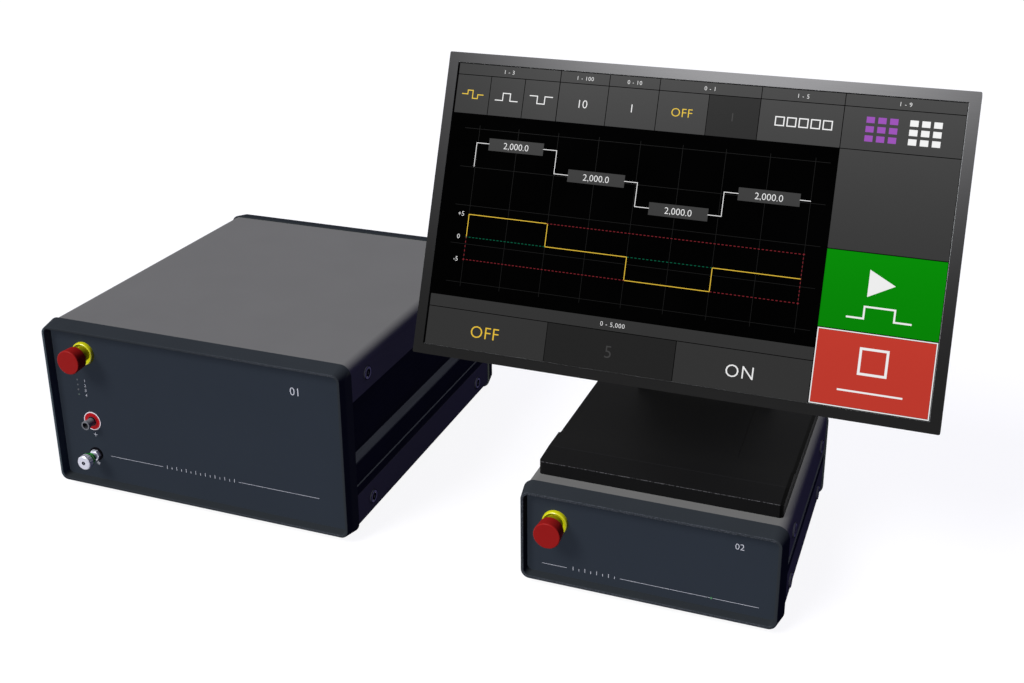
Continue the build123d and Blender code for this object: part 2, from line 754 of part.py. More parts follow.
def light_board():
    """Small board behind the generator's status lights, on two spacers from the panel."""
    height = (LIGHT_COUNT - 1) * LIGHT_PITCH + 2 * LIGHT_BOARD_MARGIN
    middle = generator.front_point(LIGHT_COLUMN_X, LIGHT_TOP_Z - (LIGHT_COUNT - 1) * LIGHT_PITCH / 2)
    back = -PANEL_THICK - LIGHT_PIPE_LENGTH
    board = block(LIGHT_BOARD_WIDTH, height, back - BOARD_THICK, back)
    for side in (-1, 1):
        spacer = rod(LIGHT_SPACER_RADIUS, back, -PANEL_THICK)
        board += Pos(0, side * (height / 2 - LIGHT_BOARD_MARGIN / 2), 0) * spacer
    return middle * board


# ---- mains inlet and its rocker: local Z points out of the rear panel ----
ROCKER_MIDDLE = INLET_HEIGHT / 2 - ROCKER_POCKET_LENGTH / 2 - ROCKER_POCKET_INSET


def inlet_socket(depth):
    """Keyed socket shape, as deep as asked."""
    outline = Rectangle(INLET_SOCKET_WIDTH, INLET_SOCKET_HEIGHT)
    corners = outline.vertices().group_by(Axis.Y)[-1]
    keyed = chamfer(corners, INLET_SOCKET_CORNER)
    return Pos(0, -INLET_SOCKET_DROP, INLET_FLANGE - depth) * extrude(keyed, depth)


def mains_inlet():
    """Moulded inlet: flange, body behind the panel, keyed socket, and rocker pocket."""
    flange = extrude(
        RectangleRounded(INLET_WIDTH + 2 * INLET_LIP, INLET_HEIGHT + 2 * INLET_LIP, INLET_LIP), INLET_FLANGE
    )
    body = block(INLET_WIDTH, INLET_HEIGHT, -INLET_DEPTH, 0)
    inlet = flange + body - inlet_socket(INLET_SOCKET_DEPTH)
    floor = INLET_FLANGE - INLET_SOCKET_DEPTH
    for x in (-INLET_PIN_SPREAD, 0, INLET_PIN_SPREAD):
        rise = 0 if x else INLET_PIN_HEIGHT / 2
        pin = block(INLET_PIN_WIDTH, INLET_PIN_HEIGHT, floor, floor + INLET_PIN_LENGTH)
        inlet += Pos(x, rise - INLET_SOCKET_DROP - INLET_PIN_DROP, 0) * pin
    pocket_width = ROCKER_WIDTH + 2 * ROCKER_SIDE_GAP
    pocket = block(pocket_width, ROCKER_POCKET_LENGTH, INLET_FLANGE - ROCKER_POCKET_DEPTH, INLET_FLANGE)
    inlet -= Pos(0, ROCKER_MIDDLE, 0) * pocket
    bearing_length = ROCKER_WIDTH + 2 * (ROCKER_PIVOT_LENGTH + ROCKER_PIVOT_END_GAP)
    bearing = Cylinder(ROCKER_PIVOT_RADIUS + RUNNING_FIT, bearing_length)
    return inlet - Pos(0, ROCKER_MIDDLE, -ROCKER_PIVOT_DEPTH) * Rot(0, 90, 0) * bearing


def mains_rocker():
    """Rocker pressed at its upper end, on two stub pivots."""
    half = ROCKER_LENGTH / 2
    outline = Polyline(
        (-half, ROCKER_CROWN),
        (ROCKER_END_TAPER - half, -ROCKER_SKIRT),
        (half - ROCKER_END_TAPER, -ROCKER_SKIRT),
        (half, ROCKER_CROWN),
        (0, ROCKER_CROWN - half * math.tan(math.radians(ROCKER_HALF_THROW))),
        close=True,
    )
    paddle = extrude(Plane.YZ * make_face(outline), ROCKER_WIDTH / 2, both=True)
    pivots = Rot(0, 90, 0) * Cylinder(ROCKER_PIVOT_RADIUS, ROCKER_WIDTH + 2 * ROCKER_PIVOT_LENGTH)
    tilted = Rot(-ROCKER_HALF_THROW, 0, 0) * (paddle + pivots)
    return Pos(0, ROCKER_MIDDLE, -ROCKER_PIVOT_DEPTH) * tilted


def inlet_cutout():
    """Hole in the rear panel for the inlet's body."""
    return block(INLET_WIDTH + 2 * CLEAR_HOLE, INLET_HEIGHT + 2 * CLEAR_HOLE, -PANEL_THICK, 0)


# ---- link socket ----
def link_shell(grow, low, high):
    """D-shaped prism between two heights."""
    outline = Trapezoid(LINK_SHELL_WIDTH + 2 * grow, LINK_SHELL_HEIGHT + 2 * grow, LINK_SLANT)
    return Pos(0, 0, low) * extrude(fillet(outline.vertices(), LINK_SHELL_ROUND), high - low)


def link_socket():
    """Fifteen-way socket: plated flange, D-shaped shell and the body behind the panel."""
    flange = block(LINK_FLANGE_WIDTH, LINK_FLANGE_HEIGHT, 0, LINK_FLANGE_THICK)
    for x in (-LINK_HOLE_SPREAD / 2, LINK_HOLE_SPREAD / 2):
        stud = hexagon(LINK_STUD_ACROSS, LINK_FLANGE_THICK, LINK_SHELL_LENGTH)
        stud += rod(LINK_HOLE_RADIUS, -PANEL_THICK - LINK_STUD_TAIL, LINK_FLANGE_THICK)
        flange += Pos(x, 0, 0) * stud
    return flange + link_shell(0, LINK_FLANGE_THICK, LINK_SHELL_LENGTH) + link_shell(0, -LINK_BODY_LENGTH, 0)


def link_cutout():
    """Holes in the rear panel for the link socket and its two studs."""
    holes = link_shell(LINK_CUTOUT_GAP, -PANEL_THICK, 0)
    for x in (-LINK_HOLE_SPREAD / 2, LINK_HOLE_SPREAD / 2):
        holes += Pos(x, 0, 0) * rod(LINK_HOLE_RADIUS + CLEAR_HOLE, -PANEL_THICK, 0)
    return holes


# ---- cooling fan: local Z points out of the rear panel, zero at the outer face ----
def fan_corners():
    """Places of the four fixing holes."""
    return GridLocations(FAN_HOLE_SPREAD, FAN_HOLE_SPREAD, 2, 2)


def fan_frame():
    """Square venturi frame with a motor mount on four struts at its inner end."""
    front = -PANEL_THICK
    back = front - FAN_DEPTH
    shell = Pos(0, 0, back) * extrude(RectangleRounded(FAN_SIZE, FAN_SIZE, FAN_CORNER), FAN_DEPTH)
    shell -= rod(FAN_BORE_RADIUS, back, front)
    shell -= [spot * rod(FAN_HOLE_RADIUS, back, front) for spot in fan_corners()]
    hub = rod(FAN_MOTOR_RADIUS, back, back + FAN_STRUT_THICK)
    shaft = rod(FAN_SHAFT_RADIUS, back, back + FAN_STRUT_THICK + FAN_SHAFT_LENGTH)
    reach = FAN_BORE_RADIUS + FAN_STRUT_ROOT
    strut = Pos(reach / 2, 0, 0) * block(reach, FAN_STRUT_WIDTH, back, back + FAN_STRUT_THICK)
    return shell + hub + shaft + [Rot(0, 0, 45 + 90 * k) * strut for k in range(4)]


def fan_rotor():
    """Hub cup with twisted blades, turning on the frame's shaft."""
    low = -PANEL_THICK - FAN_DEPTH + FAN_STRUT_THICK + FAN_ROTOR_GAP
    high = low + FAN_HUB_LENGTH
    middle = (low + high) / 2
    hub = rod(FAN_HUB_RADIUS, low, high)
    hub = fillet(hub.edges().group_by(Axis.Z)[-1], FAN_HUB_ROUND)
    tip = FAN_BORE_RADIUS - FAN_TIP_GAP
    sections = []
    root_section = (FAN_HUB_RADIUS - FAN_BLADE_ROOT, FAN_ROOT_TWIST, FAN_BLADE_CHORD)
    for radius, twist, chord in (root_section, (tip, FAN_TIP_TWIST, FAN_TIP_CHORD)):
        plane = Plane(origin=(radius, 0, middle), x_dir=(0, 1, 0), z_dir=(1, 0, 0))
        sections.append(plane * Rot(0, 0, twist) * Rectangle(chord, FAN_BLADE_THICK))
    blade = loft(sections) & rod(tip, low, high)
    rotor = hub + [Rot(0, 0, 360 * k / FAN_BLADES) * blade for k in range(FAN_BLADES)]
    return rotor - rod(FAN_SHAFT_RADIUS + RUNNING_FIT, low, low + FAN_SHAFT_LENGTH)


def fan_guard():
    """Stamped guard: rings on two crossing bars that end in four lugs."""
    reach = FAN_HOLE_SPREAD * math.sqrt(2)
    bars = [Rot(0, 0, angle) * block(reach, GUARD_BAR, 0, GUARD_THICK) for angle in (45, 135)]
    guard = bars[0] + bars[1]
    for k in range(1, GUARD_RINGS + 1):
        radius = k * GUARD_RING_PITCH
        guard += rod(radius, 0, GUARD_THICK) - rod(radius - GUARD_BAR, 0, GUARD_THICK)
    for spot in fan_corners():
        guard += spot * rod(GUARD_LUG_RADIUS, 0, GUARD_THICK)
    return guard - [spot * rod(FAN_HOLE_RADIUS, 0, GUARD_THICK) for spot in fan_corners()]


def guard_screws():
    """Screws through the guard, the panel and the fan's corners."""
    top = GUARD_THICK
    screw = rod(GUARD_SCREW_HEAD_RADIUS, top, top + VESA_HEAD_HEIGHT)
    screw += rod(SCREW_RADIUS, top - GUARD_SCREW_LENGTH, top)
    screw -= hexagon(SOCKET_ACROSS, top + VESA_HEAD_HEIGHT / 2, top + VESA_HEAD_HEIGHT)
    return [spot * screw for spot in fan_corners()]


def fan_cutout():
    """Air hole and fixing holes in the rear panel."""
    hole = rod(FAN_BORE_RADIUS, -PANEL_THICK, 0)
    return hole + [spot * rod(FAN_HOLE_RADIUS, -PANEL_THICK, 0) for spot in fan_corners()]


# ---- panels with their holes ----
gen_stop_point = generator.front_point(GEN_COLUMN_X, GEN_STOP_Z)
hv_point = generator.front_point(GEN_COLUMN_X, HV_SOCKET_Z)
ground_point = generator.front_point(GEN_COLUMN_X, GROUND_POST_Z)
ctl_stop_point = control.front_point(CTL_STOP_X, CTL_STOP_Z)
ctl_light_point = control.front_point(CTL_LIGHT_X, CTL_LIGHT_Z)
fan_point = generator.rear_point(FAN_X, generator.middle)
gen_inlet_point = generator.rear_point(GEN_INLET_X, generator.middle)
gen_link_point = generator.rear_point(GEN_LINK_X, generator.middle)
ctl_inlet_point = control.rear_point(CTL_INLET_X, control.middle)
ctl_link_points = [control.rear_point(x, control.middle) for x in (CTL_LINK_X, CTL_DISPLAY_LINK_X)]


def through_hole(radius):
    """Round hole through a panel."""
    return rod(radius + CLEAR_HOLE, -PANEL_THICK, 0)


def gen_front_panel():
    """Front panel of the generator with its stop, light and terminal holes."""
    panel = blank_panel(generator)
    panel -= gen_stop_point * through_hole(STOP_BARREL_RADIUS)
    panel -= hv_point * through_hole(HV_THREAD_RADIUS)
    panel -= ground_point * through_hole(POST_STUD_RADIUS)
    return panel - [point * through_hole(LIGHT_RADIUS) for point in light_points()]


def ctl_front_panel():
    """Front panel of the control unit with its stop and light holes."""
    panel = blank_panel(control) - ctl_stop_point * through_hole(STOP_BARREL_RADIUS)
    return panel - ctl_light_point * through_hole(LIGHT_RADIUS)


def gen_rear_panel():
    """Rear panel of the generator with its fan, inlet and link holes."""
    panel = generator.turned_round(blank_panel(generator))
    panel -= fan_point * fan_cutout()
    return panel - gen_inlet_point * inlet_cutout() - gen_link_point * link_cutout()


def ctl_rear_panel():
    """Rear panel of the control unit with its inlet and two link holes."""
    panel = control.turned_round(blank_panel(control)) - ctl_inlet_point * inlet_cutout()
    return panel - [point * link_cutout() for point in ctl_link_points]


# ---- boards and modules inside the cases ----
BOARD_TOP = STANDOFF_HEIGHT + BOARD_THICK
INNER_HALF = generator.cover_width / 2 - GRIP_DEPTH - RAIL_WALL
SUPPLY_CENTRE = (
    INNER_GAP + SUPPLY_SIZE[0] / 2 - INNER_HALF,
    GEN_DEPTH - PANEL_RECESS - PANEL_THICK - REAR_SPACE - SUPPLY_SIZE[1] / 2,
)
BOARDS_LEFT = SUPPLY_CENTRE[0] + SUPPLY_SIZE[0] / 2 + INNER_GAP
CAPACITOR_EDGE = 2 * (CAPACITOR_RADIUS + CAPACITOR_MARGIN)
CAPACITOR_BOARD_SIZE = (
    (CAPACITOR_COLUMNS - 1) * CAPACITOR_PITCH + CAPACITOR_EDGE,
    (CAPACITOR_ROWS - 1) * CAPACITOR_PITCH + CAPACITOR_EDGE,
)
CAPACITOR_BOARD_CENTRE = (
    BOARDS_LEFT + CAPACITOR_BOARD_SIZE[0] / 2,
    GEN_DEPTH - FRAME_DEPTH - CAPACITOR_REAR_GAP - CAPACITOR_BOARD_SIZE[1] / 2,
)
PULSE_BOARD_FRONT = PANEL_RECESS + PANEL_THICK + FRONT_SPACE
PULSE_BOARD_BACK = CAPACITOR_BOARD_CENTRE[1] - CAPACITOR_BOARD_SIZE[1] / 2 - INNER_GAP
PULSE_BOARD_DEPTH = PULSE_BOARD_BACK - PULSE_BOARD_FRONT
PULSE_BOARD_SIZE = (INNER_HALF - INNER_GAP - BOARDS_LEFT, PULSE_BOARD_DEPTH)
PULSE_BOARD_CENTRE = (
    BOARDS_LEFT + PULSE_BOARD_SIZE[0] / 2,
    (PULSE_BOARD_FRONT + PULSE_BOARD_BACK) / 2,
)
SINK_DEPTH = PULSE_BOARD_DEPTH - SWITCH_ROW - CHOKE_RADIUS - INNER_GAP - STANDOFF_INSET
COMPUTER_BOARD_CENTRE = (0.0, CTL_DEPTH / 2)


def board_spots(size):
    """Places of the four stand-offs under a board."""
    return GridLocations(size[0] - 2 * STANDOFF_INSET, size[1] - 2 * STANDOFF_INSET, 2, 2)


def board_place(case, centre):
    """Point on the case floor under the middle of a board."""
    return Pos(case.centre_x + centre[0], centre[1], case.floor)


def bare_board(size):
    """Board on its stand-offs, measured from the case floor."""
    return block(size[0], size[1], STANDOFF_HEIGHT, BOARD_TOP)


def pulse_board():
    """Pulse-forming board with its row of switching transistors and two chokes."""
    board = bare_board(PULSE_BOARD_SIZE)
    width, depth, height = SWITCH_SIZE
    row_y = SWITCH_ROW - PULSE_BOARD_DEPTH / 2
    for k in range(SWITCH_COUNT):
        x = (k - (SWITCH_COUNT - 1) / 2) * (width + SWITCH_GAP)
        board += Pos(x, row_y, 0) * block(width, depth, BOARD_TOP, BOARD_TOP + height)
    choke_top = BOARD_TOP + CHOKE_HEIGHT
    choke = rod(CHOKE_RADIUS, BOARD_TOP, choke_top) - rod(CHOKE_BORE_RADIUS, BOARD_TOP, choke_top)
    choke_x = PULSE_BOARD_SIZE[0] / 2 - CHOKE_RADIUS - STANDOFF_INSET
    for side in (-1, 1):
        board += Pos(side * choke_x, row_y, 0) * choke
    return board_place(generator, PULSE_BOARD_CENTRE) * board


def heat_sinks():
    """Two finned heat sinks on the pulse board."""
    sink = block(SINK_WIDTH, SINK_DEPTH, BOARD_TOP, BOARD_TOP + SINK_BASE)
    pitch = (SINK_WIDTH - SINK_FIN_THICK) / (SINK_FINS - 1)
    for k in range(SINK_FINS):
        x = (k - (SINK_FINS - 1) / 2) * pitch
        sink += Pos(x, 0, 0) * block(SINK_FIN_THICK, SINK_DEPTH, BOARD_TOP, BOARD_TOP + SINK_HEIGHT)
    sink_y = PULSE_BOARD_DEPTH / 2 - STANDOFF_INSET - SINK_DEPTH / 2
    pitch_x = SINK_WIDTH + SINK_GAP
    places = [Pos((k - (SINK_COUNT - 1) / 2) * pitch_x, sink_y, 0) for k in range(SINK_COUNT)]
    return [board_place(generator, PULSE_BOARD_CENTRE) * place * sink for place in places]


def capacitor_bank():
    """Storage capacitors standing on their bus board."""
    board = bare_board(CAPACITOR_BOARD_SIZE)
    can = rod(CAPACITOR_RADIUS, BOARD_TOP, BOARD_TOP + CAPACITOR_HEIGHT)
    can = fillet(can.edges().group_by(Axis.Z)[-1], CAPACITOR_ROUND)
    spots = GridLocations(CAPACITOR_PITCH, CAPACITOR_PITCH, CAPACITOR_COLUMNS, CAPACITOR_ROWS)
    return board_place(generator, CAPACITOR_BOARD_CENTRE) * (board + [spot * can for spot in spots])


def hv_supply():
    """Boxed high-voltage supply standing on the case floor, with cooling slots."""
    width, depth, height = SUPPLY_SIZE
    box = fillet(block(width, depth, 0, height).edges().filter_by(Axis.Z), SUPPLY_ROUND)
    slot_length = width - 2 * SUPPLY_SLOT_MARGIN
    slot = block(slot_length, SUPPLY_SLOT_WIDTH, height - SUPPLY_SLOT_DEPTH, height)
    for k in range(SUPPLY_SLOTS):
        box -= Pos(0, (k - (SUPPLY_SLOTS - 1) / 2) * SUPPLY_SLOT_PITCH, 0) * slot
    return board_place(generator, SUPPLY_CENTRE) * box


def control_computer():
    """Computer board with its cooled processor and memory."""
    board = bare_board(COMPUTER_BOARD_SIZE)
    cooler = block(COOLER_SIZE, COOLER_SIZE, BOARD_TOP, BOARD_TOP + SINK_BASE)
    pitch = (COOLER_SIZE - SINK_FIN_THICK) / (COOLER_FINS - 1)
    for k in range(COOLER_FINS):
        fin = block(SINK_FIN_THICK, COOLER_SIZE, BOARD_TOP, BOARD_TOP + COOLER_HEIGHT)
        cooler += Pos((k - (COOLER_FINS - 1) / 2) * pitch, 0, 0) * fin
    width, depth, height = MEMORY_SIZE
    board += Pos(-COOLER_OFFSET, 0, 0) * cooler
    board += Pos(MEMORY_OFFSET, 0, 0) * block(width, depth, BOARD_TOP, BOARD_TOP + height)
    return board_place(control, COMPUTER_BOARD_CENTRE) * board


def board_standoffs():
    """Threaded pillars under every board."""
    pillar = rod(STANDOFF_RADIUS, 0, STANDOFF_HEIGHT)
    pillars = []
    for case, centre, size in (
        (generator, PULSE_BOARD_CENTRE, PULSE_BOARD_SIZE),
        (generator, CAPACITOR_BOARD_CENTRE, CAPACITOR_BOARD_SIZE),
        (control, COMPUTER_BOARD_CENTRE, COMPUTER_BOARD_SIZE),
    ):
        pillars += [board_place(case, centre) * spot * pillar for spot in board_spots(size)]
    return pillars


# ---- display stand: hinge axes run along X ----
BASE_BOTTOM = control.top
LOWER_AXIS_Y = BASE_FRONT_Y + BASE_DEPTH - HINGE_REAR_INSET
LOWER_AXIS_Z = BASE_BOTTOM + BASE_REAR_THICK + HINGE_RISE
LEAN = math.radians(ARM_LEAN)
UPPER_AXIS_Y = LOWER_AXIS_Y - ARM_LENGTH * math.sin(LEAN)
UPPER_AXIS_Z = LOWER_AXIS_Z + ARM_LENGTH * math.cos(LEAN)
EAR_OFFSET = ARM_WIDTH / 2 + HINGE_SIDE_GAP + HINGE_EAR_WIDTH / 2


def across(section_face, width, x):
    """A section in the plane across the hinge axis, spread to both sides of x."""
    return Pos(x, 0, 0) * extrude(Plane.YZ * section_face, width / 2, both=True)


def base_hollow():
    """Ribbed hollow on the underside of the cast base."""
    width = BASE_WIDTH - 2 * BASE_WALL
    length = BASE_DEPTH - 2 * BASE_WALL
    height = BASE_REAR_THICK - BASE_WALL
    hollow = Pos(0, BASE_DEPTH / 2, 0) * block(width, length, 0, height)
    pitch = width / (BASE_RIBS + 1)
    for k in range(BASE_RIBS):
        rib = block(BASE_RIB_THICK, length, 0, height)
        hollow -= Pos((k - (BASE_RIBS - 1) / 2) * pitch, BASE_DEPTH / 2, 0) * rib
    return hollow


def stand_base():
    """Cast base with a creased, stepped top, a fine groove and two rear ears."""
    outline = Polyline(
        (0, 0),
        (BASE_DEPTH, 0),
        (BASE_DEPTH, BASE_REAR_THICK),
        (BASE_STEP_Y, BASE_REAR_THICK),
        (BASE_STEP_Y, BASE_CREST_THICK),
        (BASE_CREASE_Y, BASE_CREST_THICK),
        (0, BASE_FRONT_THICK),
        close=True,
    )
    body = across(make_face(outline), BASE_WIDTH, 0)
    body = fillet(body.edges().filter_by(Axis.Z).group_by(Axis.Y)[0], BASE_CORNER)
    groove = Rot(0, 0, BASE_GROOVE_SLANT) * Pos(0, BASE_GROOVE_LENGTH / 2, 0) * Box(
        BASE_GROOVE_WIDTH, BASE_GROOVE_LENGTH, 2 * BASE_GROOVE_DEPTH
    )
    body -= Pos(BASE_GROOVE_X, BASE_GROOVE_START, BASE_REAR_THICK) * groove
    body -= base_hollow()
    body = Pos(control.centre_x, BASE_FRONT_Y, BASE_BOTTOM) * body
    ear = Pos(0, HINGE_RISE / 2) * Rectangle(2 * HINGE_EAR_RADIUS, HINGE_RISE)
    ear = Pos(0, -HINGE_RISE) * ear + Circle(HINGE_EAR_RADIUS)
    bore = Circle(PIN_RADIUS + RUNNING_FIT)
    for side in (-1, 1):
        lug = across(ear - bore, HINGE_EAR_WIDTH, control.centre_x + side * EAR_OFFSET)
        body += Pos(0, LOWER_AXIS_Y, LOWER_AXIS_Z) * lug
    return body


def stand_arm():
    """Cast arm with a barrel at each end and a pocketed back."""
    long_plate = Pos(0, ARM_LENGTH / 2) * Rectangle(ARM_THICK, ARM_LENGTH)
    profile = long_plate + Circle(ARM_THICK / 2) + Pos(0, ARM_LENGTH) * Circle(ARM_THICK / 2)
    holes = Circle(PIN_RADIUS + PRESS_FIT)
    arm = across(profile - holes - Pos(0, ARM_LENGTH) * holes, ARM_WIDTH, 0)
    pocket_width = ARM_WIDTH - 2 * ARM_POCKET_WALL
    pocket_length = ARM_LENGTH - 2 * (ARM_THICK + ARM_POCKET_WALL)
    pocket = Box(pocket_width, 2 * ARM_POCKET_DEPTH, pocket_length)
    pocket = fillet(pocket.edges().filter_by(Axis.Y), ARM_POCKET_WALL)
    arm -= Pos(0, ARM_THICK / 2, ARM_LENGTH / 2) * pocket
    return Pos(control.centre_x, LOWER_AXIS_Y, LOWER_AXIS_Z) * Rot(ARM_LEAN, 0, 0) * arm


def arm_pins():
    """Hinge pins pressed in the arm's barrels."""
    length = ARM_WIDTH + 2 * (HINGE_SIDE_GAP + HINGE_EAR_WIDTH)
    pin = Rot(0, 90, 0) * Cylinder(PIN_RADIUS, length)
    return [
        Pos(control.centre_x, LOWER_AXIS_Y, LOWER_AXIS_Z) * pin,
        Pos(control.centre_x, UPPER_AXIS_Y, UPPER_AXIS_Z) * pin,
    ]


# ---- display: local Z points at the user, Y up the screen, zero at the middle of the front ----
SHELL_BACK = -BEZEL_DEPTH - SHELL_STEP
HUMP_BACK = SHELL_BACK - HUMP_DEPTH
AXIS_DEPTH = -HUMP_BACK + BRACKET_THICK + BRACKET_AXIS_OFFSET
TILT = math.radians(DISPLAY_TILT)
DISPLAY_ORIGIN = (
    control.centre_x,
    UPPER_AXIS_Y - AXIS_DEPTH * math.cos(TILT),
    UPPER_AXIS_Z + AXIS_DEPTH * math.sin(TILT),
)
display_plane = Plane(
    origin=DISPLAY_ORIGIN, x_dir=(1, 0, 0), z_dir=(0, -math.cos(TILT), math.sin(TILT))
)
OPENING_WIDTH = DISPLAY_WIDTH - 2 * BEZEL_WIDTH
OPENING_HEIGHT = DISPLAY_HEIGHT - 2 * BEZEL_WIDTH
LCD_BACK = -BEZEL_THICK - LCD_THICK


def display_outline(low, high):
    """Prism of the display's outer outline between two depths."""
    outline = RectangleRounded(DISPLAY_WIDTH, DISPLAY_HEIGHT, BEZEL_CORNER)
    return Pos(0, 0, low) * extrude(outline, high - low)


def display_bezel():
    """Front frame: flat ring with side walls that reach back to the rear shell."""
    frame = display_outline(-BEZEL_DEPTH, 0)
    frame -= block(OPENING_WIDTH, OPENING_HEIGHT, -BEZEL_DEPTH, 0)
    inner_width = DISPLAY_WIDTH - 2 * BEZEL_SIDE_WALL
    inner_height = DISPLAY_HEIGHT - 2 * BEZEL_SIDE_WALL
    return frame - block(inner_width, inner_height, -BEZEL_DEPTH, -BEZEL_THICK)


def touch_glass():
    """Glass in the bezel's opening, a little below its face."""
    return block(
        OPENING_WIDTH - 2 * GLASS_GAP, OPENING_HEIGHT - 2 * GLASS_GAP, -BEZEL_THICK, GLASS_THICK - BEZEL_THICK
    )


def display_panel():
    """Liquid-crystal module behind the glass and the bezel's ring."""
    edge = 2 * (BEZEL_SIDE_WALL + LCD_GAP)
    return block(DISPLAY_WIDTH - edge, DISPLAY_HEIGHT - edge, LCD_BACK, -BEZEL_THICK)


def hump(shrink, front, back):
    """Tapered raised middle of the rear shell, from its root to its back."""
    root = Pos(0, 0, front) * RectangleRounded(HUMP_WIDTH - 2 * shrink, HUMP_HEIGHT - 2 * shrink, HUMP_RADIUS)
    crown_width = HUMP_WIDTH - 2 * (shrink + HUMP_TAPER)
    crown_height = HUMP_HEIGHT - 2 * (shrink + HUMP_TAPER)
    crown = Pos(0, 0, back) * RectangleRounded(crown_width, crown_height, HUMP_RADIUS)
    return loft([root, crown], ruled=True)


def display_back():
    """Moulded rear shell: stepped edge, tapered hump, vents, and bosses for the board."""
    chamfer_top = SHELL_BACK + SHELL_EDGE_CHAMFER
    wide = Pos(0, 0, chamfer_top) * RectangleRounded(DISPLAY_WIDTH, DISPLAY_HEIGHT, BEZEL_CORNER)
    narrow = Pos(0, 0, SHELL_BACK) * RectangleRounded(
        DISPLAY_WIDTH - 2 * SHELL_EDGE_CHAMFER, DISPLAY_HEIGHT - 2 * SHELL_EDGE_CHAMFER, BEZEL_CORNER
    )
    plate = display_outline(chamfer_top, -BEZEL_DEPTH) + loft([wide, narrow], ruled=True)
    shell = plate + hump(0, SHELL_BACK, HUMP_BACK)
    wall = 2 * (SHELL_WALL + SHELL_EDGE_CHAMFER)
    shell -= block(DISPLAY_WIDTH - wall, DISPLAY_HEIGHT - wall, SHELL_BACK + SHELL_WALL, -BEZEL_DEPTH)
    shell -= hump(SHELL_WALL, SHELL_BACK + SHELL_WALL, HUMP_BACK + SHELL_WALL)
    vent = RectangleRounded(VENT_WIDTH, VENT_LENGTH, VENT_WIDTH * VENT_END_SHARE)
    vent = Pos(0, 0, SHELL_BACK) * extrude(vent, SHELL_WALL)
    vent_row = (HUMP_HEIGHT / 2 + DISPLAY_HEIGHT / 2) / 2
    for k in range(VENT_COUNT):
        x = (k - (VENT_COUNT - 1) / 2) * VENT_PITCH
        shell -= Pos(x, vent_row, 0) * vent
    boss = rod(STANDOFF_RADIUS, HUMP_BACK + SHELL_WALL, DRIVER_BOARD_BACK)
    shell += [spot * boss for spot in board_spots(DRIVER_BOARD_SIZE)]
    for spot in GridLocations(VESA_PITCH, VESA_PITCH, 2, 2):
        shell -= spot * rod(VESA_SCREW_RADIUS + PRESS_FIT, HUMP_BACK, HUMP_BACK + SHELL_WALL)
    return shell


DRIVER_BOARD_BACK = HUMP_BACK + SHELL_WALL + STANDOFF_HEIGHT


def display_board():
    """Driver board on the shell's bosses, with its connectors and converter."""
    width, height = DRIVER_BOARD_SIZE
    front = DRIVER_BOARD_BACK + BOARD_THICK
    board = block(width, height, DRIVER_BOARD_BACK, front)
    connector_y = CONNECTOR_INSET - height / 2
    parts = [(DRIVER_CHIP_SIZE, DRIVER_CHIP_SPOT), (CONVERTER_SIZE, CONVERTER_SPOT)]
    parts += [(CONNECTOR_SIZE, (x, connector_y)) for x in CONNECTOR_SPOTS]
    for (part_width, part_height, rise), spot in parts:
        board += Pos(*spot) * block(part_width, part_height, front, front + rise)
    return board


def display_bracket():
    """Plate on the back of the shell with two ears for the upper hinge pin."""
    width = 2 * EAR_OFFSET + HINGE_EAR_WIDTH
    plate = block(width, BRACKET_HEIGHT, HUMP_BACK - BRACKET_THICK, HUMP_BACK)
    plate = fillet(plate.edges().filter_by(Axis.Z), BRACKET_THICK)
    axis_z = -AXIS_DEPTH
    ear_profile = Circle(HINGE_EAR_RADIUS) + Pos(0, BRACKET_AXIS_OFFSET / 2) * Rectangle(
        2 * HINGE_EAR_RADIUS, BRACKET_AXIS_OFFSET
    )
    ear = across(ear_profile - Circle(PIN_RADIUS + RUNNING_FIT), HINGE_EAR_WIDTH, 0)
    for side in (-1, 1):
        plate += Pos(side * EAR_OFFSET, 0, axis_z) * ear
    for spot in GridLocations(VESA_PITCH, VESA_PITCH, 2, 2):
        plate -= spot * rod(VESA_SCREW_RADIUS + CLEAR_HOLE, HUMP_BACK - BRACKET_THICK, HUMP_BACK)
    return plate


def bracket_screws():
    """Four screws that hold the bracket to the shell."""
    head_top = HUMP_BACK - BRACKET_THICK
    screw = rod(VESA_HEAD_RADIUS, head_top - VESA_HEAD_HEIGHT, head_top)
    screw += rod(VESA_SCREW_RADIUS, head_top, head_top + VESA_SCREW_LENGTH)
    screw -= hexagon(SOCKET_ACROSS, head_top - VESA_HEAD_HEIGHT, head_top - VESA_HEAD_HEIGHT / 2)
    return [spot * screw for spot in GridLocations(VESA_PITCH, VESA_PITCH, 2, 2)]


# ---- the whole set, one entry for each node ----
nodes = {}
for prefix, case in (("gen", generator), ("ctl", control)):
    frame = corner_frame(case)
    top_cover, bottom_cover = cover_pair(case)
    nodes[prefix + "_front_frame"] = frame
    nodes[prefix + "_rear_frame"] = case.turned_round(frame)
    nodes[prefix + "_top_cover"] = top_cover
    nodes[prefix + "_bottom_cover"] = bottom_cover
    nodes[prefix + "_side_rails"] = [side_rail(case, side) for side in (-1, 1)]

nodes["gen_front_panel"] = gen_front_panel()
nodes["gen_rear_panel"] = gen_rear_panel()
nodes["ctl_front_panel"] = ctl_front_panel()
nodes["ctl_rear_panel"] = ctl_rear_panel()

all_screw_planes = screw_planes(generator) + screw_planes(control)
all_foot_planes = foot_planes(generator) + foot_planes(control)
nodes["cup_washers"] = [plane * cup_washer() for plane in all_screw_planes]
nodes["cover_screws"] = [plane * cover_screw() for plane in all_screw_planes]
nodes["rubber_feet"] = [plane * rubber_foot() for plane in all_foot_planes]

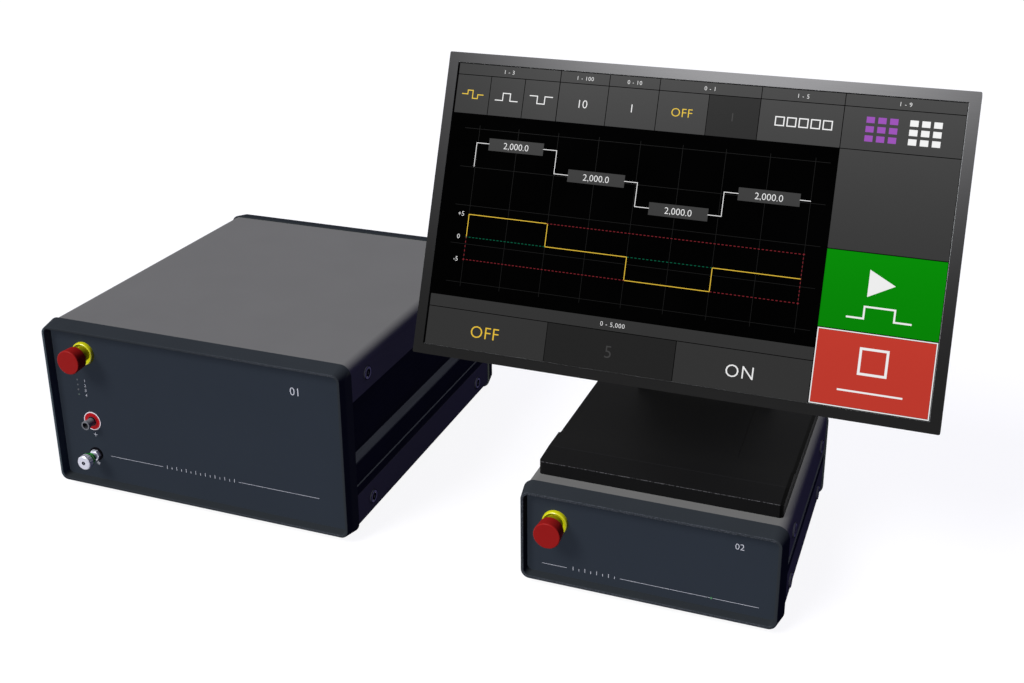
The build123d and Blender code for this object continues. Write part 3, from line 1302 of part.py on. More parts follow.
for prefix, point in (("gen", gen_stop_point), ("ctl", ctl_stop_point)):
    nodes[prefix + "_stop_collar"] = point * stop_collar()
    nodes[prefix + "_stop_plunger"] = point * stop_plunger()
    nodes[prefix + "_stop_head"] = point * stop_head()
    nodes[prefix + "_stop_contacts"] = point * stop_contacts()
nodes["panel_nuts"] = [point * stop_nut() for point in (gen_stop_point, ctl_stop_point)]
nodes["panel_nuts"].append(hv_point * hv_nut())

nodes["status_lights"] = [point * light_pipe() for point in light_points() + [ctl_light_point]]
nodes["light_board"] = light_board()
nodes["hv_socket"] = hv_point * hv_socket()
nodes["hv_ring"] = hv_point * hv_ring()
nodes["ground_washer"] = ground_point * ground_washer()
nodes["ground_nut"] = ground_point * ground_nut()
nodes["ground_post"] = ground_point * ground_post()
nodes["ground_collar"] = ground_point * ground_collar()
nodes["ground_cap"] = ground_point * ground_cap()

for prefix, point in (("gen", gen_inlet_point), ("ctl", ctl_inlet_point)):
    nodes[prefix + "_mains_inlet"] = point * mains_inlet()
    nodes[prefix + "_mains_rocker"] = point * mains_rocker()
nodes["link_sockets"] = [point * link_socket() for point in [gen_link_point] + ctl_link_points]
nodes["fan_frame"] = fan_point * fan_frame()
nodes["fan_rotor"] = fan_point * fan_rotor()
nodes["fan_guard"] = fan_point * fan_guard()
nodes["fixing_screws"] = [fan_point * screw for screw in guard_screws()]

nodes["hv_supply"] = hv_supply()
nodes["pulse_board"] = pulse_board()
nodes["heat_sinks"] = heat_sinks()
nodes["capacitor_bank"] = capacitor_bank()
nodes["control_computer"] = control_computer()
nodes["board_standoffs"] = board_standoffs()

nodes["stand_base"] = stand_base()
nodes["stand_arm"] = stand_arm()
nodes["arm_pins"] = arm_pins()
nodes["display_bracket"] = display_plane * display_bracket()
nodes["bracket_screws"] = [display_plane * screw for screw in bracket_screws()]
nodes["display_back"] = display_plane * display_back()
nodes["display_board"] = display_plane * display_board()
nodes["display_panel"] = display_plane * display_panel()
nodes["display_bezel"] = display_plane * display_bezel()
nodes["touch_glass"] = display_plane * touch_glass()


# ---- origin: the middle of the set's footprint, on the bench ----
def as_compound(shape):
    """One compound for a node, whether it is one solid or several."""
    pieces = shape if isinstance(shape, list) else [shape]
    return Compound(children=[solid for piece in pieces for solid in piece.solids()])


bench_set = {name: as_compound(shape) for name, shape in nodes.items()}
boxes = [shape.bounding_box() for shape in bench_set.values()]
ORIGIN_X = (min(box.min.X for box in boxes) + max(box.max.X for box in boxes)) / 2
ORIGIN_Y = (min(box.min.Y for box in boxes) + max(box.max.Y for box in boxes)) / 2

for name, shape in bench_set.items():
    export_step(Pos(-ORIGIN_X, -ORIGIN_Y, 0) * shape, "parts/" + name + ".step")
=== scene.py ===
import math

import bmesh
import bpy
from mathutils import Matrix, Vector


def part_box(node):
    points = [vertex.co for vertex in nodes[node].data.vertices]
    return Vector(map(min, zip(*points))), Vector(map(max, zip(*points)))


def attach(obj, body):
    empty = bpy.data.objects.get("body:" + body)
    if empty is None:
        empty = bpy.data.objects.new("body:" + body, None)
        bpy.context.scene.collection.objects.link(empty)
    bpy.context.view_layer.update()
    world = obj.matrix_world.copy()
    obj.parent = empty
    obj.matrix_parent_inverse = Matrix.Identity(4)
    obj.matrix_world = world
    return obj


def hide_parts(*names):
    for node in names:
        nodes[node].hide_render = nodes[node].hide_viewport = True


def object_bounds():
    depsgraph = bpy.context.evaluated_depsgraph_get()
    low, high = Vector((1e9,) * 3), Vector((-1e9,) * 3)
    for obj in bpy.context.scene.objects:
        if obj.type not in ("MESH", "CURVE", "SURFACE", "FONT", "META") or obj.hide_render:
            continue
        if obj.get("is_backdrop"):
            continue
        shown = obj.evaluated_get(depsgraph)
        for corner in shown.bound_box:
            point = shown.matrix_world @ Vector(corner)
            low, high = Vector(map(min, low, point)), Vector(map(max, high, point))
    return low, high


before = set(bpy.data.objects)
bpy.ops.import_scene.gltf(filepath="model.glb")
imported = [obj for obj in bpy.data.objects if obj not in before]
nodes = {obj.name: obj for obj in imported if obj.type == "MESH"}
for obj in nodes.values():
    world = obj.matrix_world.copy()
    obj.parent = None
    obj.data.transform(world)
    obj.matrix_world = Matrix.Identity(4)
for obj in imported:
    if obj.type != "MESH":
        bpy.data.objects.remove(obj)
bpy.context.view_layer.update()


# ==== Studio ====
# A pale floor under an even sky, a broad lamp high on the user's left with a second one at
# the same place that casts no shadow, and the camera at the user's right, about one and a
# half metres away, looking down on the set.
def tone(red, green, blue):
    """A screen colour of 0 to 255 as the light that it stands for."""
    steps = [level / 255 for level in (red, green, blue)]
    light = [s / 12.92 if s <= 0.04045 else ((s + 0.055) / 1.055) ** 2.4 for s in steps]
    return (*light, 1.0)


class Paint:
    """Wraps a shader socket, so that a pattern is written as sums and products of others."""

    def __init__(self, tree, socket=None):
        self.tree = tree
        self.socket = socket

    def node(self, kind, settings=None, sockets=None, out=0):
        """One node: its settings first, then the value or link of each socket."""
        made = self.tree.nodes.new(kind)
        for name, value in (settings or {}).items():
            setattr(made, name, value)
        for name, value in (sockets or {}).items():
            if isinstance(value, Paint):
                self.tree.links.new(value.socket, made.inputs[name])
            else:
                made.inputs[name].default_value = value
        return Paint(self.tree, made.outputs[out])

    def work(self, operation, first, second=0.0):
        return self.node("ShaderNodeMath", {"operation": operation}, {0: first, 1: second})

    def __add__(self, other):
        return self.work("ADD", self, other)

    def __sub__(self, other):
        return self.work("SUBTRACT", self, other)

    def __rsub__(self, other):
        return self.work("SUBTRACT", other, self)

    def __mul__(self, other):
        return self.work("MULTIPLY", self, other)

    def __truediv__(self, other):
        return self.work("DIVIDE", self, other)

    __radd__ = __add__
    __rmul__ = __mul__

    def size(self):
        return self.work("ABSOLUTE", self)

    def most(self, other):
        return self.work("MAXIMUM", self, other)

    def root(self):
        return self.work("SQRT", self)

    def power_of_e(self):
        return self.work("EXPONENT", self)

    def folded(self, span):
        """Runs up to the span and back down again, over and over."""
        return self.work("PINGPONG", self, span)

    def step(self, low, high):
        """0 below low and 1 above high, with a smooth rise between them.  Where low is the larger
        of the two, it is 1 below high and 0 above low."""
        return self.node(
            "ShaderNodeMapRange",
            {"interpolation_type": "SMOOTHSTEP"},
            {"Value": self, "From Min": low, "From Max": high},
        )

    def band(self, centre, half, soft):
        """1 within half of the centre, falling to 0 over the soft distance."""
        return (self - centre).size().step(half + soft, half)

    def blend(self, under, over):
        """The colour under where this is 0, and over where it is 1."""
        return self.node(
            "ShaderNodeMix", {"data_type": "RGBA"}, {"Factor": self, "A": under, "B": over}, "Result"
        )

    def links_to(self, shader, name):
        self.tree.links.new(self.socket, shader.inputs[name])


def seen_directly(paint):
    """1 for the rays that show the background, straight or in metal and glass."""
    rays = ("Is Camera Ray", "Is Glossy Ray", "Is Transmission Ray")
    straight, glossy, through = [paint.node("ShaderNodeLightPath", out=ray) for ray in rays]
    return straight.most(glossy).most(through)


world = bpy.data.worlds.new("studio_sky")
bpy.context.scene.world = world
world.use_nodes = True
sky = Paint(world.node_tree)
white_sky, sky_fill = (1.0, 1.0, 1.0, 1.0), (0.075, 0.068, 0.19, 1.0)
seen_directly(sky).blend(sky_fill, white_sky).links_to(world.node_tree.nodes["Background"], "Color")

floor_mesh = bpy.data.meshes.new("studio_floor")
floor_mesh.from_pydata([(-30, -30, 0), (30, -30, 0), (30, 30, 0), (-30, 30, 0)], [], [(0, 1, 2, 3)])
floor = bpy.data.objects.new("studio_floor", floor_mesh)
bpy.context.scene.collection.objects.link(floor)
floor_finish = bpy.data.materials.new("floor_finish")
floor_finish.use_nodes = True
floor_paint = Paint(floor_finish.node_tree)
floor_shader = floor_finish.node_tree.nodes["Principled BSDF"]
floor_shader.inputs["Roughness"].default_value = 0.9
floor_shader.inputs["Specular IOR Level"].default_value = 0.0
floor_shader.inputs["Emission Strength"].default_value = 1.0
floor_bounce, floor_grey = (0.04, 0.036, 0.09, 1.0), (0.37, 0.37, 0.37, 1.0)
dark, floor_glow = (0.0, 0.0, 0.0, 1.0), (0.66, 0.66, 0.66, 1.0)
shown = seen_directly(floor_paint)
shown.blend(floor_bounce, floor_grey).links_to(floor_shader, "Base Color")
shown.blend(dark, floor_glow).links_to(floor_shader, "Emission Color")
floor_mesh.materials.append(floor_finish)
floor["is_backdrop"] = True


def lamp(name, strength, from_point, spread, shadow=True):
    """Distant lamp that shines from a point towards the origin, with a soft edge in degrees."""
    light = bpy.data.lights.new(name, "SUN")
    light.energy = strength
    light.angle = math.radians(spread)
    light.use_shadow = shadow
    lit = bpy.data.objects.new(name, light)
    lit.rotation_euler = Vector(from_point).to_track_quat("Z", "Y").to_euler()
    bpy.context.scene.collection.objects.link(lit)


lamp_point, lamp_spread = (-0.36, -0.65, 0.67), 22
lamp("key_lamp", 1.2, lamp_point, lamp_spread)
lamp("fill_lamp", 3.2, lamp_point, lamp_spread, shadow=False)

camera = bpy.data.cameras.new("view_camera")
camera.lens = 45.57
camera.sensor_width = 36.0
camera.shift_x = -0.0273
camera.shift_y = -0.0997
camera.clip_end = 100.0
viewer = bpy.data.objects.new("view_camera", camera)
viewer.location = (0.47715, -1.20015, 0.7539)
viewer.rotation_euler = (math.radians(70.0), 0.0, math.radians(20.0))
bpy.context.scene.collection.objects.link(viewer)
bpy.context.scene.camera = viewer
bpy.context.scene.view_settings.view_transform = "Standard"


# ==== Corner frames ====
# Each case stands between two cast frames, painted dark blue-grey with a fine-grained
# powder coat.  A broken highlight is painted where a mouth's wall turns into the rim.
def finish(name, **constants):
    """A material with its paint and its shader, whose constant sockets are set by name."""
    material = bpy.data.materials.new(name)
    material.use_nodes = True
    shader = material.node_tree.nodes["Principled BSDF"]
    for socket, value in constants.items():
        shader.inputs[socket.replace("_", " ")].default_value = value
    return material, Paint(material.node_tree), shader


def along(paint):
    """Where a point of the piece is: its whole place, then X, Y and Z in metres."""
    place = paint.node("ShaderNodeTexCoord", out="Object")
    return [place] + [paint.node("ShaderNodeSeparateXYZ", {}, {"Vector": place}, axis) for axis in "XYZ"]


def noise(paint, place, scale, detail=2.0, stretch=None):
    """Soft random pattern; a stretch below 1 pulls its grain out along that axis."""
    if stretch:
        place = paint.node("ShaderNodeVectorMath", {"operation": "MULTIPLY"}, {0: place, 1: stretch})
    return paint.node("ShaderNodeTexNoise", {}, {"Vector": place, "Scale": scale, "Detail": detail}, "Fac")


def shaded(colour, share):
    """The colour made lighter or darker by a share of itself."""
    return (*[level * (1 + share) for level in colour[:3]], 1.0)


def surface(name, colour, roughness, grain, depth, mottle=0.06, stretch=None, marks=None, **constants):
    """Paint, plastic or metal with a fine relief and a faint mottle.  The marks function gives
    pairs of a mask and the colour that lies there over the ground colour."""
    material, paint, shader = finish(name, **constants)
    place, x, y, z = along(paint)
    fine = noise(paint, place, grain, 2.0, stretch)
    broad = noise(paint, place, 17.0, 3.0)
    cloud = (fine * 0.6 + broad * 0.4).step(0.32, 0.68)
    ground = cloud.blend(shaded(colour, -mottle), shaded(colour, mottle))
    for mask, over in marks(paint, place, x, y, z) if marks else []:
        ground = mask.blend(ground, over)
    ground.links_to(shader, "Base Color")
    (fine * 0.12 + (roughness - 0.06)).links_to(shader, "Roughness")
    height = {"Height": fine, "Distance": depth, "Strength": 1.0}
    paint.node("ShaderNodeBump", {}, height, "Normal").links_to(shader, "Normal")
    return material


def dress(material, *names):
    """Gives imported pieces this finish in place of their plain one."""
    for name in names:
        for place in nodes[name].material_slots:
            place.material = material


panel_face, mouth_edge = -0.17945, -0.19015
gen_frame_low, gen_frame_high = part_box("gen_front_frame")
gen_left, gen_right, gen_front = gen_frame_low.x, gen_frame_high.x, gen_frame_low.y
ctl_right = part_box("ctl_front_frame")[1].x
# Painted light: a highlight for the mouths' edges, and paler colours that lift two shaded faces.
painted_edge_highlight, painted_wall_light, painted_side_light = tone(92, 96, 102), tone(66, 76, 80), tone(58, 62, 58)


def frame_marks(paint, place, x, y, z):
    """A painted highlight: a broken hairline along the top and the foot of each mouth, which fades out to the
    left.
    Painted light: a paler colour on the larger mouth's left wall and on the right sides of that case's
    frames."""
    def left_of_upright(side):
        return x.step(side - 0.007, side - 0.012)

    broken = noise(paint, place, 900.0, 0.0).step(0.5, 0.58)
    highlight_share = x.step(-0.42, -0.1) * left_of_upright(gen_right) * 0.4 + x.step(0.0, 0.05) * 0.4
    hairline = y.band(mouth_edge, 0.0002, 0.0004) * broken * highlight_share * left_of_upright(ctl_right)
    left_wall = x.step(gen_left + 0.0078, gen_left + 0.0072) * x.step(gen_left + 0.0030, gen_left + 0.0036)
    left_wall = left_wall * y.step(panel_face + 0.00045, panel_face - 0.00015)
    right_side = x.band(gen_right, 0.0016, 0.0008) * y.step(gen_front + 0.003, gen_front + 0.005)
    return [(hairline, painted_edge_highlight), (left_wall, painted_wall_light), (right_side, painted_side_light)]


cast_paint = surface(
    "cast_paint", tone(45, 49, 52), 0.55, 1100.0, 0.00002, 0.05, marks=frame_marks, Specular_IOR_Level=0.0
)
dress(cast_paint, "gen_front_frame", "gen_rear_frame", "ctl_front_frame", "ctl_rear_frame")


# ==== Front and rear panels ====
# Aluminium plates that drop into the frames, lacquered in the frames' colour.  White ink on
# the fronts: a fine line with a scale, each unit's number, and small figures and signs
# beside the lights and sockets.
lacquer = surface("lacquer", tone(45, 51, 58), 0.5, 2200.0, 0.00001, 0.03, Specular_IOR_Level=0.0)
dress(lacquer, "gen_front_panel", "gen_rear_panel", "ctl_front_panel", "ctl_rear_panel")


class Layer:
    """Ink, or a lit shape, on a flat face: x runs right and y up on the face, in millimetres."""

    def __init__(self, name, origin, right, up, lift=0.02, depth=0.04):
        right, up = Vector(right).normalized(), Vector(up).normalized()
        self.place = Matrix.Translation(origin) @ Matrix((right, up, right.cross(up))).transposed().to_4x4()
        self.place = self.place @ Matrix.Scale(0.001, 4)
        self.name, self.lift, self.depth = name, lift, depth
        self.mesh = bmesh.new()

    def patch(self, *points):
        """A flat shape with the given corners, anticlockwise."""
        low = [self.mesh.verts.new((px, py, self.lift)) for px, py in points]
        high = [self.mesh.verts.new((px, py, self.lift + self.depth)) for px, py in points]
        self.mesh.faces.new(high)
        self.mesh.faces.new(low[::-1])
        for k in range(len(points)):
            j = (k + 1) % len(points)
            self.mesh.faces.new((low[k], low[j], high[j], high[k]))

    def bar(self, left, low, right, high):
        self.patch((left, low), (right, low), (right, high), (left, high))

    def line(self, width, *points):
        """A line of even width from point to point, with square ends."""
        for (ax, ay), (bx, by) in zip(points, points[1:]):
            long = math.hypot(bx - ax, by - ay)
            ex, ey = (bx - ax) / long * width / 2, (by - ay) / long * width / 2
            self.patch(
                (ax - ex + ey, ay - ey - ex), (bx + ex + ey, by + ey - ex),
                (bx + ex - ey, by + ey + ex), (ax - ex - ey, ay - ey + ex),
            )

    def border(self, width, left, low, right, high):
        """The outline of a rectangle."""
        self.line(width, (left, low), (right, low), (right, high), (left, high), (left, low))

    def figures(self, words, cx, cy, height, spread=1.0):
        """Figures of a given height, centred on a point."""
        curve = bpy.data.curves.new(self.name, "FONT")
        curve.body, curve.size, curve.space_character = words, height / 0.70, spread
        curve.align_x, curve.resolution_u, curve.extrude = "CENTER", 3, self.depth / 2
        curve.offset = -0.012 * height
        holder = bpy.data.objects.new(self.name, curve)
        bpy.context.scene.collection.objects.link(holder)
        bpy.context.view_layer.update()
        shape = bpy.data.meshes.new_from_object(holder.evaluated_get(bpy.context.evaluated_depsgraph_get()))
        bpy.data.objects.remove(holder)
        shape.transform(Matrix.Translation((cx, cy - height / 2, self.lift + self.depth / 2)))
        self.mesh.from_mesh(shape)

    def put(self, material, body, slot):
        """Turns the layer into a piece that rides on a body."""
        self.mesh.transform(self.place)
        mesh = bpy.data.meshes.new(self.name)
        self.mesh.to_mesh(mesh)
        self.mesh.free()
        return placed(self.name, mesh, material, body)


def placed(name, mesh, material, body):
    """Makes a finished mesh a piece of the object."""
    mesh.materials.clear()
    mesh.materials.append(material)
    piece = bpy.data.objects.new(name, mesh)
    bpy.context.scene.collection.objects.link(piece)
    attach(piece, body)
    return piece


def rule(face, height, *runs):
    """A fine line across a panel, in one or more runs from left to right."""
    for left, right in runs:
        face.line(0.36, (left, height), (right, height))


def scale(face, height, first, ticks):
    """Ticks across the rule, every second one taller."""
    for tick in range(ticks):
        left = first + 6.0 * tick
        face.bar(left, height - 1.4, left + 0.5, height + (1.4 if tick % 2 else 2.8))


white_ink = surface("white_ink", tone(196, 198, 203), 0.6, 3000.0, 0.000002, 0.05, Specular_IOR_Level=0.1)
RIGHT, UP = (1, 0, 0), (0, 0, 1)
gen_rule, ctl_rule, sign_stroke = 42.6, 21.8, 0.5
light_rows = (130.6, 124.7, 118.8, 112.9)
plus_x, plus_y, plus_half = -133.9, 66.3, 2.1
earth_x, earth_top, earth_y, earth_pitch = -134.7, 33.4, 31.2, 1.1

gen_face = Layer("gen_front_print", (-0.27935, panel_face, 0), RIGHT, UP)
rule(gen_face, gen_rule, (-116.5, -49.5), (45.6, 141.8))
scale(gen_face, gen_rule, -44.0, 15)
for light, low in enumerate(light_rows):
    gen_face.figures(str(light + 1), -139.5, low, 3.4)
gen_face.line(sign_stroke, (plus_x - plus_half, plus_y), (plus_x + plus_half, plus_y))
gen_face.line(sign_stroke, (plus_x, plus_y - plus_half), (plus_x, plus_y + plus_half))
gen_face.line(sign_stroke, (earth_x, earth_top), (earth_x, earth_y))
for bar, half in enumerate((2.4, 1.6, 0.8)):
    level = earth_y - earth_pitch * bar
    gen_face.line(sign_stroke, (earth_x - half, level), (earth_x + half, level))
gen_face.figures("01", 122.0, 162.3, 9.0)
gen_face.put(white_ink, "cases", "panel_grey")

ctl_face = Layer("ctl_front_print", (0.21465, panel_face, 0), RIGHT, UP)
rule(ctl_face, ctl_rule, (-106.6, -81.4), (-27.2, 60.4), (63.6, 107.0))
scale(ctl_face, ctl_rule, -75.0, 8)
ctl_face.figures("02", 86.0, 83.0, 6.4)
ctl_face.put(white_ink, "cases", "panel_grey")


# ==== Covers ====
# Folded steel sheets, powder-coated a matt mid grey, whose flanges are screwed to the
# side rails.  The coat has a faint orange peel and no gloss.
def dark_flange_edge(paint, place, x, y, z):
    """A dark line painted along the upper edge of the lower covers' flanges."""
    on_ctl = x.step(0.0, 0.01)
    top_of_flange = on_ctl * (ctl_edge - gen_edge) + gen_edge
    return [(z.band(top_of_flange, 0.0002, 0.0001), tone(34, 34, 34))]


gen_edge, ctl_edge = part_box("gen_bottom_cover")[1].z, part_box("ctl_bottom_cover")[1].z
sheet_paint = surface(
    "sheet_paint", tone(108, 108, 105), 0.7, 1500.0, 0.00002, 0.03, marks=dark_flange_edge, Specular_IOR_Level=0.0
)
dress(sheet_paint, "gen_top_cover", "gen_bottom_cover", "ctl_top_cover", "ctl_bottom_cover")


# ==== Side rails ====
# Extruded aluminium, anodised dark, with faint drawing lines that run front to back and a
# hand grip along each side of the taller case.
anodised = surface(
    "anodised", tone(46, 48, 54), 0.5, 900.0, 0.00001, 0.12, (1.0, 0.02, 1.0), Specular_IOR_Level=0.0
)
dress(anodised, "gen_side_rails", "ctl_side_rails")


# ==== Cover screws in cup washers ====
# Sixteen blackened socket screws hold the covers' flanges, each in a turned cup washer: a
# dark ring whose bright bare inside slopes down to the screw's head.
def stage_of(tree, kind, settings=None, sockets=None, out=0):
    """One geometry node: its settings first, then the value or link of each socket."""
    made = tree.nodes.new(kind)
    for name, value in (settings or {}).items():
        setattr(made, name, value)
    for name, value in (sockets or {}).items():
        if isinstance(value, bpy.types.NodeSocket):
            tree.links.new(value, made.inputs[name])
        else:
            made.inputs[name].default_value = value
    return made.outputs[out]


def geometry_tree(name, **sizes):
    """An empty tree with named size inputs; returns it and its input sockets by name."""
    tree = bpy.data.node_groups.new(name, "GeometryNodeTree")
    tree.interface.new_socket("Geometry", in_out="INPUT", socket_type="NodeSocketGeometry")
    tree.interface.new_socket("Geometry", in_out="OUTPUT", socket_type="NodeSocketGeometry")
    for size, value in sizes.items():
        kind = "NodeSocketInt" if isinstance(value, int) else "NodeSocketFloat"
        tree.interface.new_socket(size, in_out="INPUT", socket_type=kind).default_value = value
    inputs = tree.nodes.new("NodeGroupInput")
    return tree, {socket.name: socket for socket in inputs.outputs if socket.name}


def close_tree(tree, shape, material):
    """Ends a tree in real geometry with its material."""
    real = stage_of(tree, "GeometryNodeRealizeInstances", {}, {"Geometry": shape})
    done = stage_of(tree, "GeometryNodeSetMaterial", {}, {"Geometry": real, "Material": material})
    tree.links.new(done, tree.nodes.new("NodeGroupOutput").inputs[0])


def grown(name, tree, points, sizes, material, body, outward=None, joins=()):
    """Runs a tree on a set of points, each with the direction it faces, and keeps the mesh."""
    seed = bpy.data.meshes.new(name)
    seed.from_pydata(points, joins, [])
    if outward:
        aim = seed.attributes.new("aim", "FLOAT_VECTOR", "POINT")
        aim.data.foreach_set("vector", [part for vector in outward for part in vector])
    piece = bpy.data.objects.new(name, seed)
    bpy.context.scene.collection.objects.link(piece)
    maker = piece.modifiers.new("maker", "NODES")
    maker.node_group = tree
    for item in tree.interface.items_tree:
        if item.item_type == "SOCKET" and item.in_out == "INPUT" and item.name in sizes:
            maker[item.identifier] = sizes[item.name]
    bpy.context.view_layer.update()
    mesh = bpy.data.meshes.new_from_object(piece.evaluated_get(bpy.context.evaluated_depsgraph_get()))
    bpy.data.objects.remove(piece)
    mesh.name = name
    return placed(name, mesh, material, body)


def at_points(tree, inputs, shape):
    """Copies a shape, made facing +Z, to every point along its direction."""
    aim = stage_of(tree, "GeometryNodeInputNamedAttribute", {"data_type": "FLOAT_VECTOR"}, {"Name": "aim"})
    turn = stage_of(tree, "FunctionNodeAlignRotationToVector", {"axis": "Z"}, {"Vector": aim})
    points = stage_of(tree, "GeometryNodeMeshToPoints", {}, {"Mesh": inputs["Geometry"]})
    return stage_of(
        tree, "GeometryNodeInstanceOnPoints", {}, {"Points": points, "Instance": shape, "Rotation": turn}
    )


def bare_inside(paint, place, x, y, z):
    """Bare metal between the washer's hole and its crown."""
    from_middle = paint.node("ShaderNodeAttribute", {"attribute_name": "from_middle"}, out="Fac")
    return [(from_middle.step(0.0066, 0.0064) * from_middle.step(0.0044, 0.0050), tone(196, 196, 198))]


blackened = surface("blackened", tone(34, 34, 40), 0.5, 1600.0, 0.000004, 0.1, Specular_IOR_Level=0.0)
cup_metal = surface(
    "cup_metal", tone(46, 46, 54), 0.45, 1600.0, 0.000004, 0.1, marks=bare_inside, Specular_IOR_Level=0.0
)
screw_seats, screw_faces = [], []
for centre, half, fronts, heights in (
    (-0.27935, 0.18055, (-0.13515, 0.15075), (0.0288, 0.1732)),
    (0.215, 0.1272, (-0.13515, 0.03285), (0.0288, 0.0836)),
):
    for side in (-1, 1):
        for front in fronts:
            for height in heights:
                screw_seats.append((centre + side * half, front, height))
                screw_faces.append((side, 0, 0))

washer_sizes = {
    "Ring Middle": 0.00578, "Foot Width": 0.00344, "Crown Width": 0.0009, "Height": 0.0018, "Edge": 0.0002,
}
washer_tree, given = geometry_tree("cup_washer", **washer_sizes)
half_high = stage_of(washer_tree, "ShaderNodeMath", {"operation": "MULTIPLY"}, {0: given["Height"], 1: 0.5})
section = stage_of(washer_tree, "GeometryNodeCurvePrimitiveQuadrilateral", {"mode": "TRAPEZOID"}, {
    "Height": given["Height"], "Bottom Width": given["Foot Width"], "Top Width": given["Crown Width"],
    "Offset": 0.0004,
})
section = stage_of(
    washer_tree, "GeometryNodeFilletCurve", {"mode": "POLY"},
    {"Curve": section, "Radius": given["Edge"], "Count": 3, "Limit Radius": True},
)
path = stage_of(
    washer_tree, "GeometryNodeCurvePrimitiveCircle", {"mode": "RADIUS"},
    {"Resolution": 48, "Radius": given["Ring Middle"]},
)
washer = stage_of(washer_tree, "GeometryNodeCurveToMesh", {}, {"Curve": path, "Profile Curve": section})
lifted = stage_of(washer_tree, "ShaderNodeCombineXYZ", {}, {"Z": half_high})
washer = stage_of(washer_tree, "GeometryNodeTransform", {}, {"Geometry": washer, "Translation": lifted})
spot = stage_of(washer_tree, "GeometryNodeInputPosition")
flat = stage_of(washer_tree, "ShaderNodeVectorMath", {"operation": "MULTIPLY"}, {0: spot, 1: (1.0, 1.0, 0.0)})
away = stage_of(washer_tree, "ShaderNodeVectorMath", {"operation": "LENGTH"}, {0: flat}, "Value")
washer = stage_of(
    washer_tree, "GeometryNodeStoreNamedAttribute", {"data_type": "FLOAT", "domain": "POINT"},
    {"Geometry": washer, "Name": "from_middle", "Value": away},
)
close_tree(washer_tree, at_points(washer_tree, given, washer), cup_metal)
washers = grown(
    "cup_washer_set", washer_tree, screw_seats, washer_sizes, cup_metal, "cases", screw_faces
)
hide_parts("cup_washers")

screw_sizes = {
    "Head": 0.004, "Top": 0.0018, "Seat": 0.00045, "Shank": 0.002, "Length": 0.0085,
    "Key": 0.00173, "Key Depth": 0.0009,
}
screw_tree, given = geometry_tree("cover_screw", **screw_sizes)


def drum(tree, radius, low, high, sides):
    """A closed cylinder between two heights."""
    tall = stage_of(tree, "ShaderNodeMath", {"operation": "SUBTRACT"}, {0: high, 1: low})
    both = stage_of(tree, "ShaderNodeMath", {"operation": "ADD"}, {0: high, 1: low})
    middle = stage_of(tree, "ShaderNodeMath", {"operation": "MULTIPLY"}, {0: both, 1: 0.5})
    shift = stage_of(tree, "ShaderNodeCombineXYZ", {}, {"Z": middle})
    size = {"Vertices": sides, "Radius": radius, "Depth": tall}
    shape = stage_of(tree, "GeometryNodeMeshCylinder", {}, size)
    return stage_of(tree, "GeometryNodeTransform", {}, {"Geometry": shape, "Translation": shift})


below = stage_of(screw_tree, "ShaderNodeMath", {"operation": "MULTIPLY"}, {0: given["Length"], 1: -1.0})
floor_of_key = stage_of(
    screw_tree, "ShaderNodeMath", {"operation": "SUBTRACT"}, {0: given["Top"], 1: given["Key Depth"]}
)
over_top = stage_of(screw_tree, "ShaderNodeMath", {"operation": "ADD"}, {0: given["Top"], 1: 0.001})
head = drum(screw_tree, given["Head"], given["Seat"], given["Top"], 40)
shank = drum(screw_tree, given["Shank"], below, given["Seat"], 20)
key = drum(screw_tree, given["Key"], floor_of_key, over_top, 6)
head = stage_of(
    screw_tree, "GeometryNodeMeshBoolean", {"operation": "DIFFERENCE", "solver": "EXACT"},
    {"Mesh 1": head, "Mesh 2": key},
)
joined = screw_tree.nodes.new("GeometryNodeJoinGeometry")
for part in (head, shank):
    screw_tree.links.new(part, joined.inputs[0])
close_tree(screw_tree, at_points(screw_tree, given, joined.outputs[0]), blackened)
screws = grown(
    "cover_screw_set", screw_tree, screw_seats, screw_sizes, blackened, "cases", screw_faces
)
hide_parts("cover_screws")


# ==== Feet ====
# Eight moulded rubber feet, pushed into holes in the bottom covers: black, matt, and a
# little greyer where they rub on the bench.
rubber = surface(
    "rubber", tone(28, 28, 29), 0.85, 2500.0, 0.00003, 0.15, Specular_IOR_Level=0.2,
    marks=lambda paint, place, x, y, z: [(z.step(0.0012, 0.0), tone(58, 57, 55))],
)
dress(rubber, "rubber_feet")


# ==== Emergency stops ====
# A yellow dished collar on the panel, a neck that slides in it, and a plain red mushroom
# head.  All are moulded plastic, satin on the head and glossier on the collar.
def turned(name, section, centre_x, centre_z, material, body, turns=72):
    """A piece swept round an axis that comes out of a front panel.  The section gives the radius
    and the height over the panel, in millimetres, from point to point."""
    shape = bmesh.new()
    rounds = []
    for k in range(turns):
        across, up = math.cos(2 * math.pi * k / turns), math.sin(2 * math.pi * k / turns)
        rounds.append([
            shape.verts.new((centre_x + r * across / 1000, panel_face - h / 1000, centre_z + r * up / 1000))
            for r, h in section
        ])
    for k in range(turns):
        here, there = rounds[k], rounds[(k + 1) % turns]
        for j in range(len(section) - 1):
            shape.faces.new((here[j], here[j + 1], there[j + 1], there[j]))
    bmesh.ops.remove_doubles(shape, verts=shape.verts, dist=0.000001)
    bmesh.ops.recalc_face_normals(shape, faces=shape.faces)
    mesh = bpy.data.meshes.new(name)
    shape.to_mesh(mesh)
    shape.free()
    mesh.shade_smooth()
    mesh.set_sharp_from_angle(angle=math.radians(38))
    return placed(name, mesh, material, body)


